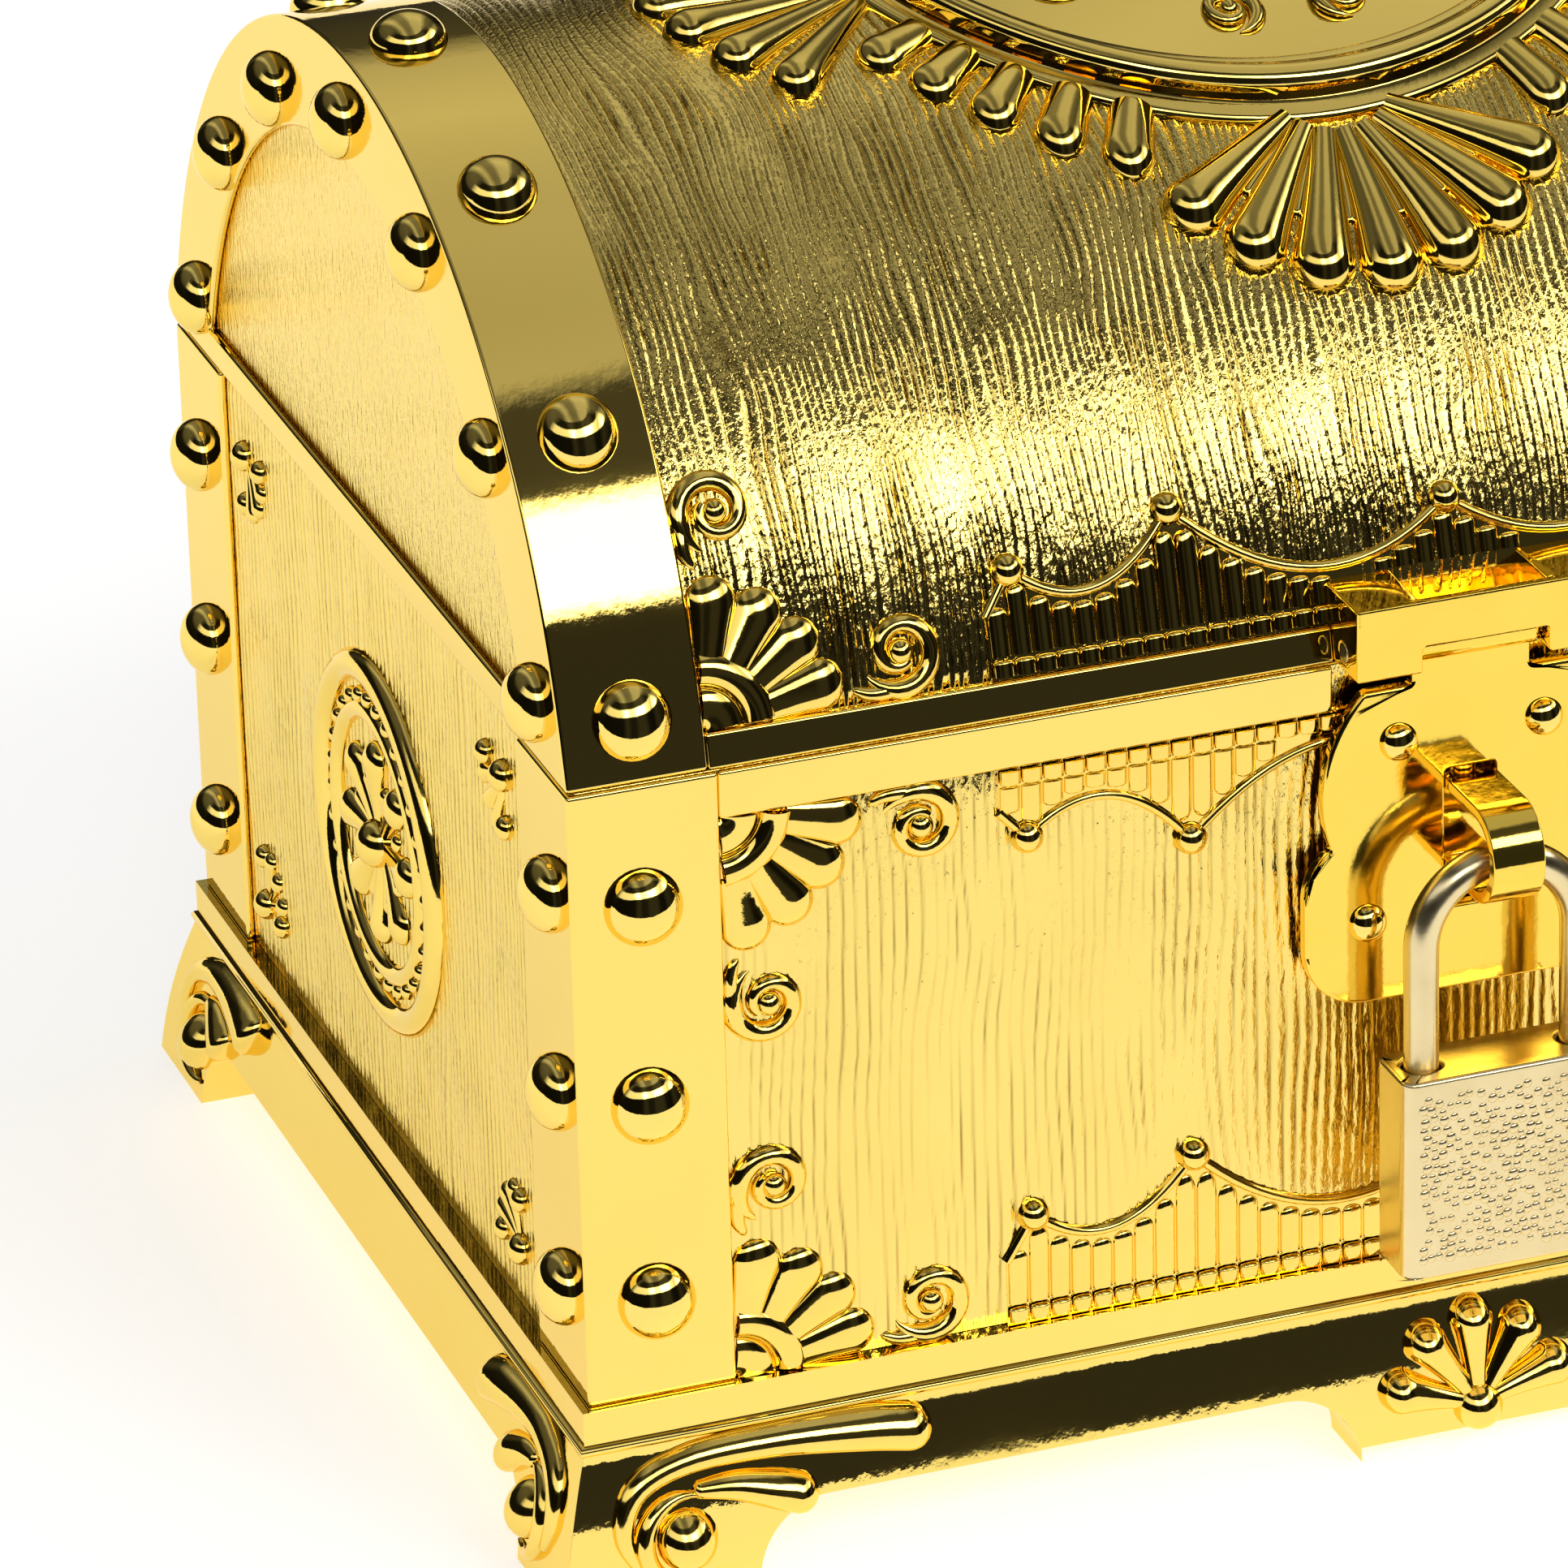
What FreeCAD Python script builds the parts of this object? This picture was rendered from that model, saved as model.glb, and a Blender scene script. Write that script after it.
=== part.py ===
import FreeCAD, Part
import math
import os
from types import SimpleNamespace

import Sketcher
from FreeCAD import Placement, Rotation, Vector

# Driving dimensions in millimetres, with the lengths measured over the straps and bands.
SIZES = {
    # Box and base
    "body_length": 141.0,
    "body_depth": 98.5,
    "body_height": 50.0,
    "box_wall": 2.4,
    "box_floor": 2.4,
    "base_height": 16.0,
    "slab_height": 3.2,
    "slab_overhang": 0.7,
    "base_flare": 3.6,
    "cove_radius": 30.0,
    "base_wall": 2.6,
    "base_ledge": 9.0,
    "apron_height": 6.4,
    "arch_radius": 6.0,
    "foot_length": 15.5,
    "foot_depth": 11.5,
    "apron_bracket_width": 19.5,
    "apron_bracket_height": 1.6,
    # Straps, bands and rims
    "strap_width": 11.7,
    "strap_proud": 0.7,
    "box_rim_height": 3.8,
    "box_rim_gap": 21.0,
    "band_width": 11.0,
    "end_frame_width": 8.6,
    "lid_rim_height": 2.6,
    # Dome rivets
    "rivet_radius": 3.0,
    "rivet_rise": 2.3,
    "rivet_inset": 5.6,
    "side_rivet_inset": 4.9,
    "rivet_drop": 9.7,
    "rivet_foot": 7.9,
    "end_rivet_inset": 5.6,
    # Lid
    "seam": 0.3,
    "lid_rise": 40.2,
    "lid_wall": 2.4,
    # Relief ornament
    "relief": 0.6,
    "fan_hub_radius": 5.8,
    "fan_start": 5.0,
    "fan_reach": 9.4,
    "fan_tip_radius": 1.9,
    "fan_root_radius": 1.3,
    "fan_sink": 0.5,
    "curl_radius": 2.3,
    "curl_thickness": 1.0,
    "curl_along": 15.6,
    "curl_across": 3.4,
    "curl_sink": 0.2,
    "bead_radius": 1.3,
    "lower_fringe_height": 8.9,
    "upper_fringe_height": 5.9,
    "lid_fringe_height": 7.9,
    "fringe_step": 2.5,
    "fringe_gap": 21.8,
    "fringe_end_inset": 2.2,
    "fringe_outer_span": 13.0,
    "fringe_inner_sag": 4.7,
    "fringe_outer_sag": 3.5,
    "end_medallion_radius": 15.4,
    "end_medallion_ring": 10.6,
    "end_medallion_cord": 1.1,
    "rosette_start": 1.6,
    "rosette_reach": 8.2,
    "rosette_tip_radius": 1.6,
    "rosette_root_radius": 0.8,
    "rosette_bud_radius": 2.0,
    "spray_step": 5.2,
    "spray_inset": 16.5,
    "foot_leaf_reach": 24.8,
    "foot_end_leaf_reach": 16.0,
    "foot_leaf_radius": 1.9,
    "foot_leaf_root": 1.2,
    "foot_leaf_start": 4.0,
    "foot_leaf_height": 9.2,
    "foot_ball_radius": 2.6,
    "foot_ball_along": 6.0,
    "foot_ball_height": 5.0,
    "apron_shell_reach": 8.6,
    "apron_shell_start": 2.0,
    "apron_shell_tip": 1.7,
    "apron_shell_root": 0.8,
    "apron_shell_height": 4.4,
    # Crown ornament of the lid
    "medallion_length": 59.0,
    "medallion_width": 47.0,
    "medallion_rise": 3.4,
    "medallion_rim": 3.6,
    "medallion_floor": 1.2,
    "collar_width": 1.6,
    "collar_rise": 1.0,
    "shell_start": 3.0,
    "shell_reach": 16.6,
    "shell_tip_radius": 2.6,
    "shell_root_radius": 1.0,
    "palmette_reach": 18.6,
    "palmette_tip_radius": 2.2,
    "crown_fan_gap": 0.4,
    "crown_fan_reach": 5.8,
    "crown_fan_tip_radius": 1.9,
    "crown_fan_root_radius": 1.4,
    # Back hinges
    "hinge_inset": 13.8,
    "hinge_width": 18.0,
    "hinge_offset": 3.0,
    "leaf_height": 9.0,
    "leaf_thickness": 1.1,
    "knuckle_radius": 2.2,
    "hinge_pin_radius": 1.0,
    "running_gap": 0.05,
    "side_gap": 0.3,
    # Hasp
    "hasp_neck_width": 10.2,
    "hasp_shoulder_drop": 1.9,
    "hasp_lobe_radius": 12.0,
    "hasp_lobe_drop": 10.3,
    "hasp_foot_width": 27.0,
    "hasp_foot_top": 13.5,
    "hasp_foot_bottom": 27.5,
    "hasp_foot_corner": 5.0,
    "hasp_thickness": 1.2,
    "hasp_gap": 0.4,
    "hasp_pin_reach": 1.7,
    "hasp_pin_height": 1.8,
    "hasp_pin_radius": 0.8,
    "hasp_knuckle_radius": 1.6,
    "hasp_slot_top": 9.3,
    "hasp_slot_bottom": 20.6,
    "hasp_rivet_radius": 1.5,
    "hasp_rivet_rise": 1.1,
    "hasp_upper_rivet_place": 5.9,
    "hasp_upper_rivet_drop": 6.3,
    "hasp_lower_rivet_place": 8.4,
    "hasp_lower_rivet_drop": 20.8,
    "bracket_width": 20.8,
    "bracket_height": 5.8,
    "bracket_reach": 4.5,
    "bridge_height": 3.7,
    "bridge_thickness": 0.8,
    "staple_width": 4.2,
    "staple_thickness": 1.0,
    "staple_web": 0.6,
    "eye_radius": 2.9,
    "eye_reach": 7.0,
    "eye_drop": 13.8,
    # Padlock
    "shackle_radius": 1.35,
    "shackle_half_span": 6.35,
    "shackle_gap": 0.75,
    "shackle_rise": 16.0,
    "long_leg": 12.0,
    "short_leg": 4.2,
    "leg_clearance": 0.15,
    "case_width": 17.8,
    "case_height": 16.6,
    "case_thickness": 6.0,
    "case_corner": 1.2,
    "plug_radius": 2.15,
    "plug_length": 9.2,
    "keyway_width": 0.7,
    "keyway_depth": 6.0,
    "latch_length": 4.0,
    "latch_height": 1.8,
    "latch_thickness": 1.6,
    "latch_bite": 0.5,
    "latch_drop": 5.2,
    "latch_clearance": 0.2,
    "latch_travel": 1.3,
    "notch_ramp": 3.4,
    # Cutters run past the faces that they cut
    "overrun": 2.0,
}

# Shares and angles that give the ornament its proportions
flute_share = 0.96
keyway_share = 0.7
curl_eye_share = 0.55
spray_shares = (1.0, 0.8, 0.6)
second_leaf_share = 0.5
fringe_end_share = 0.6
end_cover_share = 1.04

LID_RIVET_ANGLES = (-73.2, -48.8, -24.4, 0.0, 24.4, 48.8, 73.2)
END_RIVET_ANGLES = (-71.0, -47.5, -24.0, 0.0, 24.0, 47.5, 71.0)
FAN_ANGLES = (14.0, 34.7, 55.3, 76.0)
APRON_SHELL_ANGLES = (18.0, 54.0, 90.0, 126.0, 162.0)
CROWN_SHELL_AIMS = (-145.0, -126.7, -108.3, -90.0, -71.7, -53.3, -35.0)
PALMETTE_AIMS = (132.0, 148.0, 164.0, 180.0, 196.0, 212.0, 228.0)
CROWN_FAN_TURNS = (24.0, 33.0, 42.0, 51.0, 60.0)
ROSETTE_ANGLES = tuple(range(0, 360, 45))
FOOT_LEAF_ANGLE = 7.0
COVE_TILT = 13.0
CROWN_SHELL_ANGLE = 26.0

UPRIGHT = Rotation()
ALONG_X = Rotation(Vector(0, 1, 0), 90)
ALONG_MINUS_X = Rotation(Vector(0, 1, 0), -90)
ALONG_Y = Rotation(Vector(1, 0, 0), -90)
FACING_FRONT = Rotation(Vector(1, 0, 0), 90)
FACING_BACK = Rotation(Vector(0, 0, 1), 180).multiply(FACING_FRONT)
FACING_LEFT = Rotation(Vector(0, 0, 1), -90).multiply(FACING_FRONT)
FACING_RIGHT = Rotation(Vector(0, 0, 1), 90).multiply(FACING_FRONT)

doc = FreeCAD.newDocument("treasure_chest")
nodes = []


class Size:
    """A length together with the sheet expression that gives it."""

    def __init__(self, value, text):
        self.value = value
        self.text = text

    def __add__(self, other):
        return Size(self.value + number(other), f"({self.text} + {wording(other)})")

    def __sub__(self, other):
        return Size(self.value - number(other), f"({self.text} - {wording(other)})")

    def __mul__(self, other):
        return Size(self.value * number(other), f"({self.text} * {wording(other)})")

    def __truediv__(self, other):
        return Size(self.value / number(other), f"({self.text} / {wording(other)})")

    def __neg__(self):
        return self * -1

    def __rsub__(self, other):
        return -self + other

    __radd__ = __add__
    __rmul__ = __mul__


def number(size):
    """Return the plain value of a size or of a number."""
    return size.value if isinstance(size, Size) else size


def wording(size):
    """Return the expression text of a size or of a number."""
    return size.text if isinstance(size, Size) else f"{size:.6f}"


def root(size):
    """Return the square root of a size."""
    return Size(math.sqrt(size.value), f"sqrt({size.text})")


def cosine(angle):
    """Return the cosine of an angle in degrees."""
    return math.cos(math.radians(angle))


def sine(angle):
    """Return the sine of an angle in degrees."""
    return math.sin(math.radians(angle))


def fill_sheet():
    """Write the driving dimensions to the sheet and return them as sizes."""
    sheet = doc.addObject("Spreadsheet::Sheet", "sizes")
    for row, (alias, value) in enumerate(SIZES.items(), start=1):
        sheet.set(f"A{row}", alias)
        sheet.set(f"B{row}", str(value))
        sheet.setAlias(f"B{row}", alias)
    doc.recompute()
    return SimpleNamespace(**{alias: Size(value, f"sizes.{alias}") for alias, value in SIZES.items()})


d = fill_sheet()

# Levels and faces shared by the pieces
half_length = d.body_length / 2
half_depth = d.body_depth / 2
wall_x = half_length - d.strap_proud
wall_y = half_depth - d.strap_proud
seam_level = d.base_height + d.body_height
lid_bottom = seam_level + d.seam
slab_bottom = d.base_height - d.slab_height
lid_radius = (half_depth * half_depth + d.lid_rise * d.lid_rise) / (d.lid_rise * 2)
lid_axis = lid_bottom + d.lid_rise - lid_radius
shell_radius = lid_radius - d.strap_proud
rim_bottom = seam_level - d.box_rim_height
lid_rim_top = lid_bottom + d.lid_rim_height
strap_edge = half_length - d.strap_width
band_edge = half_length - d.band_width
fringe_end = strap_edge - d.fringe_gap
fringe_outer = fringe_end - d.fringe_end_inset
fringe_inner = fringe_outer - d.fringe_outer_span
hinge_y = half_depth + d.hinge_offset
hinge_z = seam_level + d.seam / 2
hasp_pin_y = -(half_depth + d.hasp_pin_reach)
hasp_pin_z = seam_level + d.hasp_pin_height
eye_y = -(half_depth + d.eye_reach)
eye_z = seam_level - d.eye_drop
wire_z = eye_z - d.eye_radius + d.shackle_radius + d.shackle_gap
case_top = wire_z - d.shackle_rise
case_bottom = case_top - d.case_height
latch_z = case_top - d.latch_drop
neck_half = d.hasp_neck_width / 2
long_leg_x = -d.shackle_half_span
front_reach = d.eye_reach + d.eye_radius + d.staple_thickness
back_reach = d.hinge_offset + d.knuckle_radius
middle_shift = (front_reach - back_reach) / 2


def bind(item, prop, size):
    """Tie a property of an item to a size."""
    if isinstance(size, Size):
        item.setExpression(prop, size.text)
    else:
        setattr(item, prop, size)


def place(item, x=0, y=0, z=0, turn=UPRIGHT):
    """Turn an item and tie its place to sizes."""
    item.Placement = Placement(Vector(number(x), number(y), number(z)), turn)
    for axis, size in zip("xyz", (x, y, z)):
        if isinstance(size, Size):
            item.setExpression(f"Placement.Base.{axis}", size.text)
    return item


def node(item, label):
    """Set a finished piece in the frame of the whole object, name it and keep it for writing."""
    item.Label = f"{label}_solid"
    piece = place(together([item]), 0, middle_shift)
    piece.Label = label
    nodes.append(piece)


def span(x0, x1, y0, y1, z0, z1):
    """Return a block between two opposite corners."""
    item = doc.addObject("Part::Box", "Block")
    bind(item, "Length", x1 - x0)
    bind(item, "Width", y1 - y0)
    bind(item, "Height", z1 - z0)
    return place(item, x0, y0, z0)


def rod(radius, height, x=0, y=0, z=0, turn=UPRIGHT, angle=360):
    """Return a round rod that starts at a point and runs along its turned axis."""
    item = doc.addObject("Part::Cylinder", "Rod")
    bind(item, "Radius", radius)
    bind(item, "Height", height)
    item.Angle = angle
    return place(item, x, y, z, turn)


def cross_rod(radius, half_width, y, z, middle=0):
    """Return a rod along the length of the chest, centred on a place."""
    return rod(radius, half_width * 2, middle - half_width, y, z, ALONG_X)


def ball(radius, x=0, y=0, z=0):
    """Return a sphere."""
    item = doc.addObject("Part::Sphere", "Ball")
    bind(item, "Radius", radius)
    return place(item, x, y, z)


def ring(radius, cord_radius, x=0, y=0, z=0, turn=UPRIGHT, angle=360):
    """Return a round ring that lies flat before its turn."""
    item = doc.addObject("Part::Torus", "Ring")
    bind(item, "Radius1", radius)
    bind(item, "Radius2", cord_radius)
    item.Angle3 = angle
    return place(item, x, y, z, turn)


def cone(root_radius, tip_radius, height, x, y, z, along):
    """Return a cone that starts at a point, runs along a direction and ends inside its tip ball."""
    item = doc.addObject("Part::Cone", "Flute")
    bind(item, "Radius1", root_radius)
    bind(item, "Radius2", tip_radius * flute_share)
    bind(item, "Height", height)
    return place(item, x, y, z, Rotation(Vector(0, 0, 1), along))


def dome(radius, rise, x, y, z, turn):
    """Return a dome whose flat foot lies at a point and faces along a turn."""
    item = doc.addObject("Part::Ellipsoid", "Dome")
    bind(item, "Radius1", rise)
    bind(item, "Radius2", radius)
    bind(item, "Radius3", radius)
    item.Angle1 = 0
    item.Angle2 = 90
    return place(item, x, y, z, turn)


def union(parts):
    """Return the parts joined to one solid."""
    item = doc.addObject("Part::MultiFuse", "Union")
    item.Refine = False
    item.Shapes = parts
    return item


def without(base, tool):
    """Return a base with a tool cut away."""
    item = doc.addObject("Part::Cut", "Rest")
    item.Refine = False
    item.Base = base
    item.Tool = tool
    return item


def shared(first, second):
    """Return what two solids have in common."""
    item = doc.addObject("Part::Common", "Shared")
    item.Refine = False
    item.Base = first
    item.Tool = second
    return item


def together(parts):
    """Return separate solids as one group."""
    item = doc.addObject("Part::Compound", "Group")
    item.Links = parts
    return item


def mirrored(source, normal, z=0):
    """Return the mirror image of a solid across a plane through the middle or at a level."""
    item = doc.addObject("Part::Mirroring", "Mirrored")
    item.Source = source
    item.Normal = normal
    if isinstance(z, Size):
        item.setExpression("Base.z", z.text)
    return item


def across(source):
    """Return the mirror image on the other end of the chest."""
    return mirrored(source, Vector(1, 0, 0))


def behind(source):
    """Return the mirror image on the back of the chest."""
    return mirrored(source, Vector(0, 1, 0))


def new_body(name):
    """Return an empty body."""
    return doc.addObject("PartDesign::Body", name)


def sketch(body, role, lift=0):
    """Return a sketch on one of a body's own planes, lifted along its normal."""
    drawing = body.newObject("Sketcher::SketchObject", "Sketch")
    support = [plane for plane in body.Origin.OriginFeatures if plane.Role == role][0]
    drawing.AttachmentSupport = (support, [""])
    drawing.MapMode = "FlatFace"
    if isinstance(lift, Size):
        drawing.setExpression("AttachmentOffset.Base.z", lift.text)
    return drawing


def fix_point(drawing, edge, end, place_x, place_y):
    """Tie one end of an edge to a place in its sketch."""
    for kind, axis, size in (("DistanceX", -2, place_x), ("DistanceY", -1, place_y)):
        if isinstance(size, Size):
            index = drawing.addConstraint(Sketcher.Constraint(kind, -1, 1, edge, end, size.value))
            drawing.setExpression(f"Constraints[{index}]", size.text)
        else:
            drawing.addConstraint(Sketcher.Constraint("PointOnObject", edge, end, axis))


def fix_radius(drawing, edge, radius):
    """Tie the radius of an arc or a circle to a size."""
    index = drawing.addConstraint(Sketcher.Constraint("Radius", edge, radius.value))
    drawing.setExpression(f"Constraints[{index}]", radius.text)


def arc_between(start, end, radius, side):
    """Return an arc between two points and whether it runs from the first to the second.

    The centre lies on the left of the way from start to end where side is 1, else on the right.
    """
    chord = end - start
    middle = (start + end) * 0.5
    height = math.sqrt(radius ** 2 - (chord.Length / 2) ** 2)
    across_chord = Vector(-chord.y, chord.x, 0).normalize()
    centre = middle + across_chord * (height * side)
    first = math.atan2(start.y - centre.y, start.x - centre.x)
    second = math.atan2(end.y - centre.y, end.x - centre.x)
    circle = Part.Circle(centre, Vector(0, 0, 1), radius)
    if side > 0:
        return Part.ArcOfCircle(circle, first, second), True
    return Part.ArcOfCircle(circle, second, first), False


def outline(drawing, corners, arcs=None):
    """Draw a closed outline through corners; arcs gives a radius and a side to an edge's number."""
    arcs = arcs or {}
    points = [Vector(number(x), number(y), 0) for x, y in corners]
    ends = []
    for index, point in enumerate(points):
        following = points[(index + 1) % len(points)]
        if index in arcs:
            radius, side = arcs[index]
            curve, forward = arc_between(point, following, radius.value, side)
            edge = drawing.addGeometry(curve, False)
            ends.append((edge, 1, 2) if forward else (edge, 2, 1))
        else:
            edge = drawing.addGeometry(Part.LineSegment(point, following), False)
            ends.append((edge, 1, 2))
    for index, (edge, first, last) in enumerate(ends):
        following, start, _ = ends[(index + 1) % len(ends)]
        drawing.addConstraint(Sketcher.Constraint("Coincident", edge, last, following, start))
        fix_point(drawing, edge, first, *corners[index])
        if index in arcs:
            radius = arcs[index][0]
            fix_radius(drawing, edge, radius)
    return drawing


def rectangle(drawing, x0, x1, y0, y1):
    """Draw a rectangle between two opposite corners."""
    return outline(drawing, [(x0, y0), (x1, y0), (x1, y1), (x0, y1)])


def round_rectangle(drawing, x0, x1, y0, y1, radius):
    """Draw a rectangle with round corners."""
    corners = [
        (x0 + radius, y0), (x1 - radius, y0),
        (x1, y0 + radius), (x1, y1 - radius),
        (x1 - radius, y1), (x0 + radius, y1),
        (x0, y1 - radius), (x0, y0 + radius),
    ]
    return outline(drawing, corners, {edge: (radius, 1) for edge in (1, 3, 5, 7)})


def disc(drawing, radius, x, y):
    """Draw a circle."""
    edge = drawing.addGeometry(Part.Circle(Vector(number(x), number(y), 0), Vector(0, 0, 1), radius.value))
    fix_point(drawing, edge, 3, x, y)
    fix_radius(drawing, edge, radius)
    return drawing


def swept(body, kind, drawing, length, both_ways):
    """Add or cut a straight sweep of a sketch."""
    feature = body.newObject(kind, "Feature")
    feature.Profile = drawing
    feature.SideType = "Symmetric" if both_ways else "One side"
    bind(feature, "Length", length)
    return feature


def pad(body, drawing, length, both_ways=False):
    """Add a straight sweep of a sketch."""
    return swept(body, "PartDesign::Pad", drawing, length, both_ways)


def pocket(body, drawing, length, both_ways=False):
    """Cut a straight sweep of a sketch, against the sketch's normal."""
    return swept(body, "PartDesign::Pocket", drawing, length, both_ways)


def oval_prism(length, width, z0, z1):
    """Return an upright prism on an oval."""
    oval = doc.addObject("Part::Ellipse", "Oval")
    bind(oval, "MajorRadius", length / 2)
    bind(oval, "MinorRadius", width / 2)
    place(oval, 0, 0, z0)
    item = doc.addObject("Part::Extrusion", "Prism")
    item.Base = oval
    item.DirMode = "Custom"
    item.Dir = Vector(0, 0, 1)
    item.Solid = True
    bind(item, "LengthFwd", z1 - z0)
    return item


def lid_roller(radius, half_width):
    """Return a cylinder about the axis of the lid's curve."""
    return cross_rod(radius, half_width, 0, lid_axis)


def on_lid(solid):
    """Keep what stands above the lid's shell."""
    return without(solid, lid_roller(shell_radius, half_length))


def flutes(angles, start, reach, root_radius, tip_radius, z=0):
    """Return flutes that widen to round tips, fanned about the middle in the flat."""
    parts = []
    for angle in angles:
        along = Vector(cosine(angle), sine(angle), 0)
        begin = (start * along.x, start * along.y, z)
        parts.append(cone(root_radius, tip_radius, reach - start, *begin, along))
        parts.append(ball(tip_radius, reach * along.x, reach * along.y, z))
    return parts


def rosette():
    """Return a ring of flutes about a bud, lying flat."""
    petals = flutes(
        ROSETTE_ANGLES, d.rosette_start, d.rosette_reach, d.rosette_root_radius, d.rosette_tip_radius
    )
    return petals + [ball(d.rosette_bud_radius)]


def curl(spot, foot, turn):
    """Return a curl: a cord ring about an eye, on a small disc that starts at a foot under it."""
    return [
        ring(d.curl_radius, d.curl_thickness, *spot, turn),
        rod(d.curl_radius, d.relief * 2, *foot, turn),
        ball(d.curl_radius * curl_eye_share, *spot),
    ]


def above_flat(solid, reach):
    """Keep what stands above the flat within a reach of the middle."""
    return shared(solid, span(-reach, reach, -reach, reach, 0, reach))


def make_box():
    """Make the open tub."""
    body = new_body("chest_box")
    plan = rectangle(sketch(body, "XY_Plane", d.base_height), -wall_x, wall_x, -wall_y, wall_y)
    pad(body, plan, d.body_height)
    inner_x = wall_x - d.box_wall
    inner_y = wall_y - d.box_wall
    cavity = rectangle(sketch(body, "XY_Plane", seam_level), -inner_x, inner_x, -inner_y, inner_y)
    pocket(body, cavity, d.body_height - d.box_floor)
    node(body, "chest_box")


def base_profile(role, half_width, length):
    """Return a long bar with the coved section of the base."""
    board = half_width + d.slab_overhang
    floor = half_width + d.base_flare
    corners = [
        (-floor, 0), (floor, 0), (board, slab_bottom),
        (board, d.base_height), (-board, d.base_height), (-board, slab_bottom),
    ]
    body = new_body("base_profile")
    cove = (d.cove_radius, -1)
    pad(body, outline(sketch(body, role), corners, {1: cove, 5: cove}), length, both_ways=True)
    return body


def make_base_block():
    """Return the base as a full block, coved on four sides."""
    past = (d.base_flare + d.overrun) * 2
    lengthwise = base_profile("YZ_Plane", half_depth, d.body_length + past)
    crosswise = base_profile("XZ_Plane", half_length, d.body_depth + past)
    return shared(lengthwise, crosswise)


def make_base(block):
    """Make the base frame: board, coved skirt, apron and four feet."""
    past_x = half_length + d.base_flare + d.overrun
    past_y = half_depth + d.base_flare + d.overrun
    inner_x = half_length - d.base_wall
    inner_y = half_depth - d.base_wall
    ledge_x = half_length - d.base_ledge
    ledge_y = half_depth - d.base_ledge
    foot_x = half_length + d.base_flare - d.foot_length
    foot_y = half_depth + d.base_flare - d.foot_depth
    half_bracket = d.apron_bracket_width / 2
    radius = d.arch_radius
    top = d.apron_height
    shoulder = top - radius
    under = -d.overrun
    cutters = [
        span(-inner_x, inner_x, -inner_y, inner_y, under, slab_bottom),
        span(-ledge_x, ledge_x, -ledge_y, ledge_y, under, d.base_height + d.overrun),
        span(-half_bracket, half_bracket, -past_y, past_y, under, d.apron_bracket_height),
    ]
    for near, far in ((half_bracket, foot_x), (-foot_x, -half_bracket)):
        cutters.append(span(near, far, -past_y, past_y, under, shoulder))
        cutters.append(span(near + radius, far - radius, -past_y, past_y, under, top))
        for middle in (near + radius, far - radius):
            cutters.append(rod(radius, past_y * 2, middle, -past_y, shoulder, ALONG_Y))
    cutters.append(span(-past_x, past_x, -foot_y, foot_y, under, shoulder))
    cutters.append(span(-past_x, past_x, radius - foot_y, foot_y - radius, under, top))
    for middle in (radius - foot_y, foot_y - radius):
        cutters.append(cross_rod(radius, past_x, middle, shoulder))
    node(without(block, union(cutters)), "base_frame")


def foot_scroll(turn, x, y, reach, block):
    """Return the leaf and ball ornament of one foot face, seated on the cove."""
    start = d.foot_leaf_start
    second_reach = start + (reach - start) * second_leaf_share
    leaves = flutes((FOOT_LEAF_ANGLE,), start, reach, d.foot_leaf_root, d.foot_leaf_radius)
    leaves += flutes((-FOOT_LEAF_ANGLE,), start, second_reach, d.foot_leaf_root, d.foot_leaf_radius)
    raised = place(union(leaves), 0, d.foot_leaf_height, 0)
    scroll = union([raised, ball(d.foot_ball_radius, d.foot_ball_along, d.foot_ball_height, 0)])
    return without(place(scroll, x, y, 0, turn), block)


def make_foot_scrolls(block):
    """Make the leaf and ball ornament on both faces of each foot."""
    lean = Rotation(Vector(1, 0, 0), -COVE_TILT)
    floor_x = -(half_length + d.base_flare)
    floor_y = -(half_depth + d.base_flare)
    on_front = foot_scroll(FACING_FRONT.multiply(lean), -half_length, floor_y, d.foot_leaf_reach, block)
    on_end = foot_scroll(FACING_LEFT.multiply(lean), floor_x, half_depth, d.foot_end_leaf_reach, block)
    front_end = behind(on_end)
    on_back = behind(on_front)
    node(together([on_front, front_end]), "foot_scrolls_front_left")
    node(together([across(on_front), across(front_end)]), "foot_scrolls_front_right")
    node(together([on_back, on_end]), "foot_scrolls_back_left")
    node(together([across(on_back), across(on_end)]), "foot_scrolls_back_right")


def make_apron_shells(block):
    """Make the shells in the middle of the front and back apron."""
    petals = flutes(
        APRON_SHELL_ANGLES, d.apron_shell_start, d.apron_shell_reach, d.apron_shell_root, d.apron_shell_tip
    )
    shell = union(petals + [ball(d.apron_shell_start)])
    lean = Rotation(Vector(1, 0, 0), -COVE_TILT)
    foot = half_depth + d.base_flare - d.apron_shell_height * math.tan(math.radians(COVE_TILT))
    front = without(place(shell, 0, -foot, d.apron_shell_height, FACING_FRONT.multiply(lean)), block)
    node(front, "apron_shell_front")
    node(behind(front), "apron_shell_back")


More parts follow.
